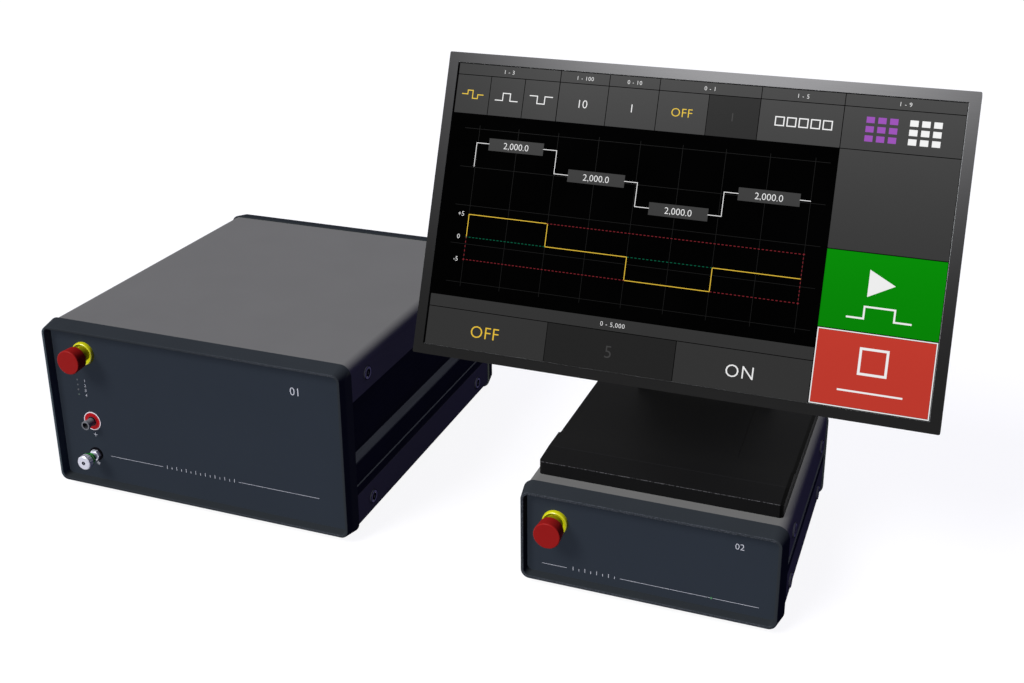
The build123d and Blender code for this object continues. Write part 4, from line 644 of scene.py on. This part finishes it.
stop_yellow = surface("stop_yellow", tone(196, 196, 16), 0.28, 900.0, 0.000004, 0.05, Specular_IOR_Level=0.5)
collar_section = (
    (8.1, -16.0), (11.0, -16.0), (11.0, 0.0), (13.3, 0.0), (13.3, 1.2), (13.2, 2.3), (12.9, 3.3), (12.5, 4.0),
    (11.9, 4.3), (11.3, 4.0), (10.8, 3.3), (10.2, 2.1), (9.4, 1.2), (8.1, 0.9), (8.1, -16.0),
)
for unit, stop_x, stop_z in (("gen", -0.4149, 0.1639), ("ctl", 0.1215, 0.0704)):
    name = unit + "_dished_collar"
    collar = turned(name, collar_section, stop_x, stop_z, stop_yellow, "cases")
    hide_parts(unit + "_stop_collar")


def neck_painted_shade(paint, place, x, y, z):
    """Painted shade: the neck is a darker copy of the collar's yellow wherever it stands out of the panel, in
    place of the collar's shaded dish.
    """
    return [(y.step(panel_face + 0.00045, panel_face + 0.00025), tone(120, 116, 8))]


stop_black = tone(20, 20, 22)
stop_red = surface("stop_red", tone(140, 24, 22), 0.42, 1400.0, 0.000006, 0.04, Specular_IOR_Level=0.06)
moulding = surface("moulding", stop_black, 0.5, 1300.0, 0.00001, 0.1, Specular_IOR_Level=0.02)
neck = surface("neck", stop_black, 0.5, 1300.0, 0.00001, 0.1, marks=neck_painted_shade, Specular_IOR_Level=0.02)
dress(stop_red, "gen_stop_head", "ctl_stop_head")
dress(neck, "gen_stop_plunger", "ctl_stop_plunger")
dress(moulding, "gen_stop_contacts", "ctl_stop_contacts", "panel_nuts")


# ==== High-voltage socket ====
# A grey insulated socket with a waist and a bore that is painted dark for its shade, screwed
# through the panel, on a flat plastic ring that is red with a white edge.
hv_x, hv_z = -0.4149, 0.0826


def from_axis(x, z, centre_x, centre_z):
    """Distance of a point from an axis that runs front to back."""
    across, rise = x - centre_x, z - centre_z
    return (across * across + rise * rise).root()


def ring_marks(paint, place, x, y, z):
    """Red up to the white edge."""
    return [(from_axis(x, z, hv_x, hv_z).step(0.0099, 0.0098), tone(166, 18, 24))]


def socket_marks(paint, place, x, y, z):
    """Painted shade in the bore, a red flange against the ring, and painted shade at the foot of the barrel
    over it.
    """
    radius = from_axis(x, z, hv_x, hv_z)
    bore = radius.step(0.0037, 0.0034)
    flange = y.step(panel_face - 0.0012, panel_face - 0.0011) * radius.step(0.0054, 0.0055)
    foot = y.step(panel_face - 0.0022, panel_face - 0.0021) * radius.step(0.0055, 0.0054)
    return [(bore, tone(14, 14, 20)), (flange, tone(150, 14, 20)), (foot, tone(18, 18, 24))]


ring_plastic = surface(
    "ring_plastic", tone(222, 214, 216), 0.5, 1500.0, 0.000004, 0.03, marks=ring_marks, Specular_IOR_Level=0.1
)
socket_grey = surface(
    "socket_grey", tone(104, 106, 109), 0.4, 1500.0, 0.000006, 0.08, marks=socket_marks,
    Specular_IOR_Level=0.15,
)
dress(ring_plastic, "hv_ring")
socket_section = (
    (0.0, -5.6), (3.5, -5.6), (3.5, 12.4), (5.0, 12.4), (5.2, 12.2), (5.2, 9.4), (4.5, 8.8), (4.5, 1.0),
    (6.5, 1.0), (6.5, 0.0), (5.6, 0.0), (5.6, -14.0), (0.0, -14.0),
)
waisted_socket = turned("waisted_socket", socket_section, hv_x, hv_z, socket_grey, "cases")
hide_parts("hv_socket")


# ==== Ground terminal ====
# A nickel-plated binding post: black insulating washer, nut, stud with its sleeve, a green
# ring, and a fluted cap with a green skirt that screws down and is open for a plug.
band_green = tone(30, 142, 36)
cap_low, cap_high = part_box("ground_cap")
cap_x, cap_z = (cap_low.x + cap_high.x) / 2, (cap_low.z + cap_high.z) / 2
skirt_y, skirt_half = -0.1933, 0.0022


def cap_marks(paint, place, x, y, z):
    """The cap's green skirt, and painted shade inside the plug's bore."""
    bore = from_axis(x, z, cap_x, cap_z).step(0.0024, 0.0021)
    return [(y.band(skirt_y, skirt_half, 0.0001), band_green), (bore, tone(58, 58, 72))]


nickel = surface("nickel", tone(204, 205, 214), 0.3, 1500.0, 0.000004, 0.06, marks=cap_marks, Metallic=0.4)
washer_black = surface("washer_black", tone(15, 15, 18), 0.6, 1300.0, 0.000006, 0.1, Specular_IOR_Level=0.0)
green_plastic = surface("green_plastic", band_green, 0.4, 1200.0, 0.000006, 0.06, Specular_IOR_Level=0.1)
dress(nickel, "ground_nut", "ground_post", "ground_cap")
dress(green_plastic, "ground_collar")
dress(washer_black, "ground_washer")


# ==== Status lights ====
# Clear pins through the panels that bring out the light of the lamps on a small board: the
# third glows faintly amber, the fourth faintly green and the one on the control unit green.
def lens_finish():
    material, paint, shader = finish("lens", Roughness=0.25, Specular_IOR_Level=0.4, Emission_Strength=1.0)
    place, x, y, z = along(paint)
    noise(paint, place, 2500.0).blend(tone(54, 60, 66), tone(70, 76, 82)).links_to(shader, "Base Color")
    third, fourth = [z.band(light_rows[row] / 1000, 0.0015, 0.0002) for row in (2, 3)]
    on_ctl = z.step(0.05, 0.04)
    glow = third.blend(dark, tone(34, 30, 24))
    glow = fourth.blend(glow, tone(22, 42, 14))
    on_ctl.blend(glow, tone(20, 100, 30)).links_to(shader, "Emission Color")
    return material


dress(lens_finish(), "status_lights")


def board_finish(name, colour, part_marks):
    """Solder-masked board with fine tracks; part_marks colours what stands on it."""
    def marks(paint, place, x, y, z):
        tracks = noise(paint, place, 260.0, 0.0, (0.25, 1.0, 1.0)).step(0.53, 0.56)
        return [(tracks * 0.5, shaded(colour, 0.9))] + part_marks(paint, place, x, y, z)
    return surface(name, colour, 0.4, 1800.0, 0.00001, 0.08, marks=marks, Specular_IOR_Level=0.4)


mask_green = tone(16, 74, 40)
dress(board_finish("light_board_mask", mask_green, lambda *_: []), "light_board")


# ==== Rear of the cases ====
# Moulded mains inlets with their rockers, plated fifteen-way link sockets, and an axial fan
# with a moulded rotor behind a stamped guard that four screws hold.
def square_mark(x, z, centre_x, centre_z, half_x, half_z):
    """1 inside a rectangle on a face that looks to the front or rear."""
    return x.band(centre_x, half_x, 0.0001) * z.band(centre_z, half_z, 0.0001)


def inlet_finish(name, centre_x, centre_z, face):
    """Black, with three flat pins inside: two side by side and one a little higher between them."""
    def pins(paint, place, x, y, z):
        inside = y.step(face - 0.0036, face - 0.0038) * y.step(face - 0.0140, face - 0.0134)
        mirrored = (x - centre_x).size() + centre_x
        outer = square_mark(mirrored, z, centre_x + 0.007, centre_z - 0.0125, pin_wide, pin_high)
        middle = square_mark(x, z, centre_x, centre_z - 0.0105, pin_wide, pin_high)
        return [(outer.most(middle) * inside, tone(190, 186, 170))]
    return surface(name, tone(26, 26, 28), 0.35, 1500.0, 0.000008, 0.1, marks=pins, Specular_IOR_Level=0.3)


def rocker_finish(name, centre_x, centre_z):
    """Black, with a white stroke at one end and a white ring at the other."""
    def signs(paint, place, x, y, z):
        stroke = square_mark(x, z, centre_x, centre_z + 0.0045, 0.0002, 0.0014)
        circle = from_axis(x, z, centre_x, centre_z - 0.0045).band(0.0013, 0.0002, 0.0001)
        return [(stroke.most(circle), tone(222, 222, 222))]
    return surface(name, tone(18, 18, 20), 0.28, 1500.0, 0.000004, 0.08, marks=signs, Specular_IOR_Level=0.4)


pin_wide, pin_high, rocker_rise = 0.00101, 0.00201, 0.0119
gen_rear, ctl_rear = 0.19505, 0.07715
gen_row, ctl_row = 0.1010, 0.0562
gen_inlet_x, ctl_inlet_x = -0.39935, 0.1300
dress(inlet_finish("gen_inlet_moulding", gen_inlet_x, gen_row, gen_rear), "gen_mains_inlet")
dress(inlet_finish("ctl_inlet_moulding", ctl_inlet_x, ctl_row, ctl_rear), "ctl_mains_inlet")
dress(rocker_finish("gen_rocker_moulding", gen_inlet_x, gen_row + rocker_rise), "gen_mains_rocker")
dress(rocker_finish("ctl_rocker_moulding", ctl_inlet_x, ctl_row + rocker_rise), "ctl_mains_rocker")


def link_marks(paint, place, x, y, z):
    """A black insert in each shell's mouth, with rows of gold contacts."""
    marks = []
    for centre_x, centre_z, face in (
        (-0.32935, gen_row, gen_rear), (0.215, ctl_row, ctl_rear), (0.275, ctl_row, ctl_rear),
    ):
        mouth = y.step(face + 0.0056, face + 0.0057) * y.step(face + 0.0062, face + 0.0060)
        insert = square_mark(x, z, centre_x, centre_z, 0.0112, 0.0033) * mouth
        across, rise = (x - centre_x).folded(half_pitch), (z - centre_z).folded(half_pitch)
        contact = (across * across + rise * rise).step(0.0000004, 0.0000002)
        contact = contact * square_mark(x, z, centre_x, centre_z, 0.0055, 0.0028)
        marks += [(insert, tone(20, 20, 22)), (contact * insert, tone(200, 160, 70))]
    return marks


half_pitch = 0.00115
plated = surface("plated", tone(150, 151, 156), 0.45, 1600.0, 0.000004, 0.1, Specular_IOR_Level=0.1)
link_plating = surface(
    "link_plating", tone(150, 150, 146), 0.35, 1200.0, 0.000004, 0.08, marks=link_marks, Metallic=0.6
)
fan_moulding = surface("fan_moulding", tone(27, 27, 29), 0.45, 1100.0, 0.00001, 0.1, Specular_IOR_Level=0.25)
rotor_moulding = surface(
    "rotor_moulding", tone(36, 36, 38), 0.4, 1100.0, 0.00001, 0.08, Specular_IOR_Level=0.25
)
guard_paint = surface("guard_paint", tone(30, 30, 31), 0.45, 1800.0, 0.00001, 0.1, Specular_IOR_Level=0.3)
dress(link_plating, "link_sockets")
dress(fan_moulding, "fan_frame")
dress(rotor_moulding, "fan_rotor")
dress(guard_paint, "fan_guard")
dress(plated, "fixing_screws")


# ==== Boards and modules inside the cases ====
# A boxed high-voltage supply, the pulse board with its finned heat sinks, six storage
# capacitors on their bus board, and the computer, on brass pillars over the case floors.
def above(z, height):
    """1 from a height upwards."""
    return z.step(height, height + 0.0001)


def pulse_parts(paint, place, x, y, z):
    parts = above(z, board_top)
    windings = parts * (x + 0.2213).size().step(0.068, 0.069)
    turns = noise(paint, place, 800.0, 0.0, (1.0, 1.0, 0.1)).blend(tone(120, 62, 24), tone(196, 112, 54))
    return [(parts, tone(30, 30, 32)), (windings, turns)]


def capacitor_parts(paint, place, x, y, z):
    across, deep = (x + 0.29615).folded(can_half_pitch), (y - 0.049).folded(can_half_pitch)
    top = (across * across + deep * deep).step(0.000235, 0.000225) * above(z, 0.0977)
    return [(above(z, board_top), tone(30, 44, 96)), (top, tone(176, 176, 172))]


def computer_parts(paint, place, x, y, z):
    parts = above(z, board_top)
    return [(parts, tone(36, 36, 38)), (parts * x.band(0.1920, 0.0234, 0.0002), tone(150, 152, 154))]


def driver_parts(paint, place, x, y, z):
    """What stands on the display's board, told by how far it lies from the leaning screen."""
    out = (z - SCREEN_MIDDLE[2]) * SCREEN_UP[1] - (y - SCREEN_MIDDLE[1]) * SCREEN_UP[2]
    return [(out.step(-0.02686, -0.02676), tone(40, 40, 42))]


SCREEN_MIDDLE, SCREEN_UP = (0.215, -0.109762, 0.357174), (0, 0.3665, 0.9304)
board_top, can_half_pitch = 0.01792, 0.020
galvanised = surface("galvanised", tone(150, 152, 154), 0.42, 120.0, 0.000004, 0.12, Metallic=0.8)
drawn_aluminium = surface(
    "drawn_aluminium", tone(168, 170, 172), 0.4, 1400.0, 0.000006, 0.1, (1.0, 0.03, 1.0), Metallic=0.9
)
brass = surface("brass", tone(196, 160, 84), 0.35, 1500.0, 0.000004, 0.08, Metallic=0.9)
dress(board_finish("pulse_mask", mask_green, pulse_parts), "pulse_board")
dress(board_finish("capacitor_mask", mask_green, capacitor_parts), "capacitor_bank")
dress(board_finish("computer_mask", mask_green, computer_parts), "control_computer")
dress(board_finish("driver_mask", mask_green, driver_parts), "display_board")
dress(galvanised, "hv_supply", "display_panel")
dress(drawn_aluminium, "heat_sinks")
dress(brass, "board_standoffs")


# ==== Stand ====
# A ribbed cast base on the smaller case, an arm that folds on a steel pin in its ears, and
# a bracket for the display on a second pin.  All are painted a plain dull black.
def base_marks(paint, place, x, y, z):
    """A broken highlight painted on the front edge, a lighter band painted along the crease of the base's
    top, and painted shade, deep black, along its right edge."""
    broken = noise(paint, place, 1300.0, 0.0).step(0.42, 0.6)
    edge = y.band(edge_y, 0.0002, 0.0004) * z.band(edge_z, 0.0002, 0.0004)
    crease = y.band(crease_y, 0.0002, 0.0006) * z.step(0.1208, 0.1210)
    right_edge = x.step(base_right - 0.0038, base_right - 0.0034)
    return [(edge * broken, tone(96, 96, 96)), (crease * 0.3, tone(40, 40, 41)), (right_edge, tone(3, 3, 3))]


edge_y, edge_z, crease_y = -0.15505, 0.1192, -0.12505
base_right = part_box("stand_base")[1].x
base_paint = surface(
    "base_paint", tone(19, 19, 19), 0.6, 1100.0, 0.00002, 0.06, marks=base_marks, Specular_IOR_Level=0.02
)
arm_paint = surface("arm_paint", tone(24, 24, 25), 0.55, 1100.0, 0.00002, 0.08, Specular_IOR_Level=0.1)
dress(base_paint, "stand_base")
dress(arm_paint, "stand_arm", "display_bracket")
dress(plated, "arm_pins", "bracket_screws")


# ==== Display ====
# A moulded rear shell with vents, a brushed grey metal bezel with a sheen painted at its top,
# and black glass that sits half a millimetre below the bezel's face.
back_moulding = surface(
    "back_moulding", tone(26, 26, 28), 0.55, 700.0, 0.00005, 0.08, Specular_IOR_Level=0.15
)
dress(back_moulding, "display_back")


def bezel_finish():
    """Brushed along the bars, with a painted reflection: a broad sheen at the top that fades downwards and to
    both sides.
    """
    foot, height, middle = 0.2269, 0.2605, 0.267

    def sheen(paint, place, x, y, z):
        rise, across = (z - foot) / height, x - middle
        brush = noise(paint, place, 1500.0, 1.0, (0.02, 1.0, 1.0))
        spread = (across * across * -18.4).power_of_e()
        fall = across.step(0.0, 0.19) * 0.6
        return [(rise * rise * spread * (1 - fall + fall * rise) * (0.95 + brush * 0.1), tone(140, 140, 137))]

    return surface(
        "brushed_bezel", tone(27, 27, 26), 0.45, 1500.0, 0.000006, 0.03, (0.02, 1.0, 1.0), sheen,
        Specular_IOR_Level=0.02,
    )


dress(bezel_finish(), "display_bezel")
glass_black = surface("glass_black", tone(1, 1, 1), 0.12, 20.0, 0.0, 0.3, Specular_IOR_Level=0.005)
dress(glass_black, "touch_glass")


# ==== Lit screen ====
# What the display shows, as thin lit shapes on the glass: grey keys, a step plot with its
# values, a pulse waveform between dotted limits, and the green and red keys.
def lit(name, low_colour, high_colour, side_fall=0.0):
    """Light of the screen, from one colour at its foot to another at its head."""
    material, paint, shader = finish(
        name, Base_Color=dark, Roughness=0.3, Specular_IOR_Level=0.02, Emission_Strength=1.0
    )
    place, x, y, z = along(paint)
    grain = noise(paint, place, 1800.0, 1.0)
    foot, height = 0.2285, 0.256
    rise = (z - foot) / height
    rise = rise * rise * (1 - x.step(0.10, -0.03) * side_fall) + grain * 0.06 - 0.03
    rise.most(0.0).blend(low_colour, high_colour).links_to(shader, "Emission Color")
    return material


def screen_layer(name, lift=-0.48):
    """A layer whose lift is counted from the bezel's face, so that it is sunk with the glass."""
    return Layer(name, SCREEN_MIDDLE, RIGHT, SCREEN_UP, lift, 0.03)


head_low, head_high, head_text = 126.5, 136.8, 131.5
key_low, key_high, key_text = 88.8, 125.8, 107.3
foot_low, foot_high, foot_text = -137.5, -100.5, -119.3
screen_left, screen_right, strip_left, strip_right = -235.4, 133.6, 134.3, 236.5

keys = screen_layer("screen_keys")
for left, right in (
    (screen_left, -131.6), (-130.8, -83.2), (-82.5, -34.8), (-34.1, 59.6), (60.3, screen_right),
    (strip_left, strip_right),
):
    keys.bar(left, head_low, right, head_high)
for left, right in (
    (screen_left, -201.3), (-200.6, -166.4), (-165.7, -131.6), (-130.8, -83.2), (-82.5, -34.8), (-34.1, 12.4),
    (60.3, screen_right), (strip_left, strip_right),
):
    keys.bar(left, key_low, right, key_high)
keys.bar(screen_left, -99.8, screen_right, -88.4)
keys.bar(screen_left, foot_low, -113.8, foot_high)
keys.bar(11.1, foot_low, screen_right, foot_high)
keys.bar(strip_left, 0.3, strip_right, 88.1)
keys.put(lit("key_grey", tone(49, 49, 49), tone(74, 74, 74), 0.5), "display", "screen_glass")

dim_keys = screen_layer("screen_dim_keys")
dim_keys.bar(13.0, key_low, 59.6, key_high)
dim_keys.bar(-113.2, foot_low, 10.4, foot_high)
dim_keys.put(lit("dim_grey", tone(33, 33, 33), tone(49, 49, 49)), "display", "screen_glass")

values = screen_layer("screen_value_boxes", -0.42)
value_spots = ((-167.3, 60.8), (-84.5, 39.0), (-2.9, 16.8), (77.7, 39.0))
box_half_wide, box_half_high = 27.8, 5.9
for middle, level in value_spots:
    values.bar(
        middle - box_half_wide, level - box_half_high, middle + box_half_wide, level + box_half_high
    )
values.put(lit("value_grey", tone(52, 52, 52), tone(72, 72, 72)), "display", "screen_glass")

graticule, hair = screen_layer("screen_graticule"), 0.4
for column in range(9):
    left = -206.7 + 40.16 * column
    graticule.bar(left, -78.0, left + hair, 78.0)
for row in range(5):
    low = -74.4 + 37.2 * row
    graticule.bar(-222.0, low, 128.0, low + hair)
graticule.put(lit("graticule_grey", tone(24, 24, 24), tone(30, 30, 30)), "display", "screen_glass")

start_key = screen_layer("screen_start_key")
start_key.bar(strip_left, -69.0, strip_right, -0.5)
start_key.put(lit("start_green", tone(0, 124, 0), tone(0, 172, 0)), "display", "screen_glass")
stop_key = screen_layer("screen_stop_key")
stop_key.bar(135.4, -135.6, 235.4, -71.0)
stop_key.put(lit("stop_key_red", tone(186, 55, 43), tone(250, 80, 60)), "display", "screen_glass")


def tiles(face, left):
    """Nine small blocks in three rows, on a key of the upper row."""
    for column in range(3):
        for row in range(3):
            low = 96.4 + 8.2 * row
            face.bar(left + 10.0 * column, low, left + 7.0 + 10.0 * column, low + 5.4)


key_figures, large_figures = 7.8, 11.6
white = screen_layer("screen_white", -0.40)
upper, middle_level, lower = 61.2, 39.2, 17.0
for run in (
    ((-207.6, 38.3), (-207.6, upper), (-195.1, upper)),
    ((-139.5, upper), (-126.1, upper), (-126.1, middle_level), (-112.3, middle_level)),
    ((-56.7, middle_level), (-44.2, middle_level), (-44.2, lower), (-30.7, lower)),
    ((24.9, lower), (37.1, lower), (37.1, middle_level), (49.9, middle_level)),
    ((105.5, middle_level), (114.6, middle_level)),
):
    white.line(0.6, *run)
for middle, level in value_spots:
    white.figures("2,000.0", middle, level - 0.1, 6.2)
for span, middle in (
    ("1 - 3", -183.5), ("1 - 100", -107.0), ("0 - 10", -58.6), ("0 - 1", 12.8), ("1 - 5", 97.0),
    ("1 - 9", 185.4),
):
    white.figures(span, middle, head_text, 3.8, 1.1)
white.figures("0 - 5,000", -51.0, -94.1, 4.2, 1.1)
white.figures("10", -107.0, key_text, key_figures)
white.figures("1", -58.6, key_text, key_figures)
for left, ends, middle in ((-194.5, 103.9, 111.0), (-159.5, 111.0, 103.9)):
    there, back, right = left + 7.5, left + 15.0, left + 22.5
    white.line(
        0.9, (left, ends), (there, ends), (there, middle), (back, middle), (back, ends), (right, ends)
    )
for card in range(5):
    left = 75.0 + 10.6 * card
    white.border(1.0, left, 103.7, left + 7.6, 111.3)
tiles(white, 191.0)
for sign, level in (("+5", -8.2), ("0", -30.2), ("-5", -52.0)):
    white.figures(sign, -214.6, level, 4.4)
white.figures("ON", 71.1, foot_text, large_figures, 1.1)
white.patch((173.0, -14.5), (173.0, -38.5), (196.0, -26.5))
white.line(
    1.6, (158.0, -57.5), (172.0, -57.5), (172.0, -47.0), (198.0, -47.0), (198.0, -57.5), (212.0, -57.5)
)
white.border(2.2, 173.5, -105.5, 196.5, -83.5)
white.line(1.6, (158.0, -121.5), (212.0, -121.5))
white.border(0.9, 134.9, -136.3, 236.0, -70.3)
white.put(lit("mark_white", tone(235, 235, 235), tone(246, 246, 246)), "display", "screen_glass")

dim_marks = screen_layer("screen_dim_marks", -0.42)
dim_marks.figures("5", -52.0, foot_text, large_figures)
dim_marks.figures("1", 36.0, key_text, key_figures)
dim_marks.put(lit("dim_mark_grey", tone(62, 62, 62), tone(74, 74, 74)), "display", "screen_glass")

purple = screen_layer("screen_purple", -0.42)
tiles(purple, 154.0)
purple.put(lit("mark_purple", tone(150, 80, 176), tone(158, 84, 186)), "display", "screen_glass")

plot_start, plot_end, plus, zero, minus = -206.4, 114.6, -8.3, -30.2, -51.9
yellow = screen_layer("screen_yellow", -0.41)
yellow.line(
    0.7, (plot_start, -30.4), (plot_start, plus), (-126.1, plus), (-126.1, zero), (-45.7, zero),
    (-45.7, minus), (34.9, minus), (34.9, zero), (114.3, zero),
)
yellow.line(
    0.9, (-229.0, 107.4), (-223.5, 107.4), (-223.5, 111.2), (-218.3, 111.2), (-218.3, 103.6),
    (-213.1, 103.6), (-213.1, 107.4), (-207.6, 107.4),
)
yellow.figures("OFF", -11.0, key_text, 8.0, 1.05)
yellow.figures("OFF", -175.4, foot_text, large_figures, 1.05)
yellow.put(lit("mark_yellow", tone(226, 188, 60), tone(240, 205, 74)), "display", "screen_glass")

dash_sizes = {"Pitch": 0.0036, "Dash": 0.0019, "Width": 0.0005}
dash_tree, given = geometry_tree("dotted_limit", **dash_sizes)
run = stage_of(dash_tree, "GeometryNodeMeshToCurve", {}, {"Mesh": given["Geometry"]})
spots = dash_tree.nodes.new("GeometryNodeCurveToPoints")
spots.mode = "LENGTH"
dash_tree.links.new(run, spots.inputs["Curve"])
dash_tree.links.new(given["Pitch"], spots.inputs["Length"])
size_of_dash = stage_of(
    dash_tree, "ShaderNodeCombineXYZ", {}, {"X": given["Width"], "Y": given["Width"], "Z": given["Dash"]}
)
dash = stage_of(dash_tree, "GeometryNodeMeshCube", {}, {"Size": size_of_dash})
dashes = stage_of(
    dash_tree, "GeometryNodeInstanceOnPoints", {},
    {"Points": spots.outputs["Points"], "Instance": dash, "Rotation": spots.outputs["Rotation"]},
)
limit_red = lit("limit_red", tone(122, 36, 44), tone(128, 38, 46))
close_tree(dash_tree, dashes, limit_red)


def dotted(name, material, runs):
    """Dotted lines on the screen, each run given by its ends in the screen's millimetres.  The
    layer serves only to place them."""
    face = screen_layer(name)
    face.mesh.free()
    ends = [face.place @ Vector((px, py, -0.2)) for run in runs for px, py in run]
    joins = [(2 * k, 2 * k + 1) for k in range(len(runs))]
    return grown(name, dash_tree, ends, dash_sizes, material, "display", joins=joins)


dotted("screen_limits", limit_red, [
    ((-126.1, plus), (plot_end, plus)), ((plot_start, minus), (-46.0, minus)),
    ((36.0, minus), (plot_end, minus)), ((plot_end, plus), (plot_end, minus)),
    ((plot_start, -30.6), (plot_start, minus)),
])
dotted("screen_zero", lit("zero_green", tone(8, 92, 66), tone(8, 98, 70)), [
    ((plot_start, zero), (-127.0, zero)), ((-44.5, zero), (34.0, zero)),
])


low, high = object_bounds()
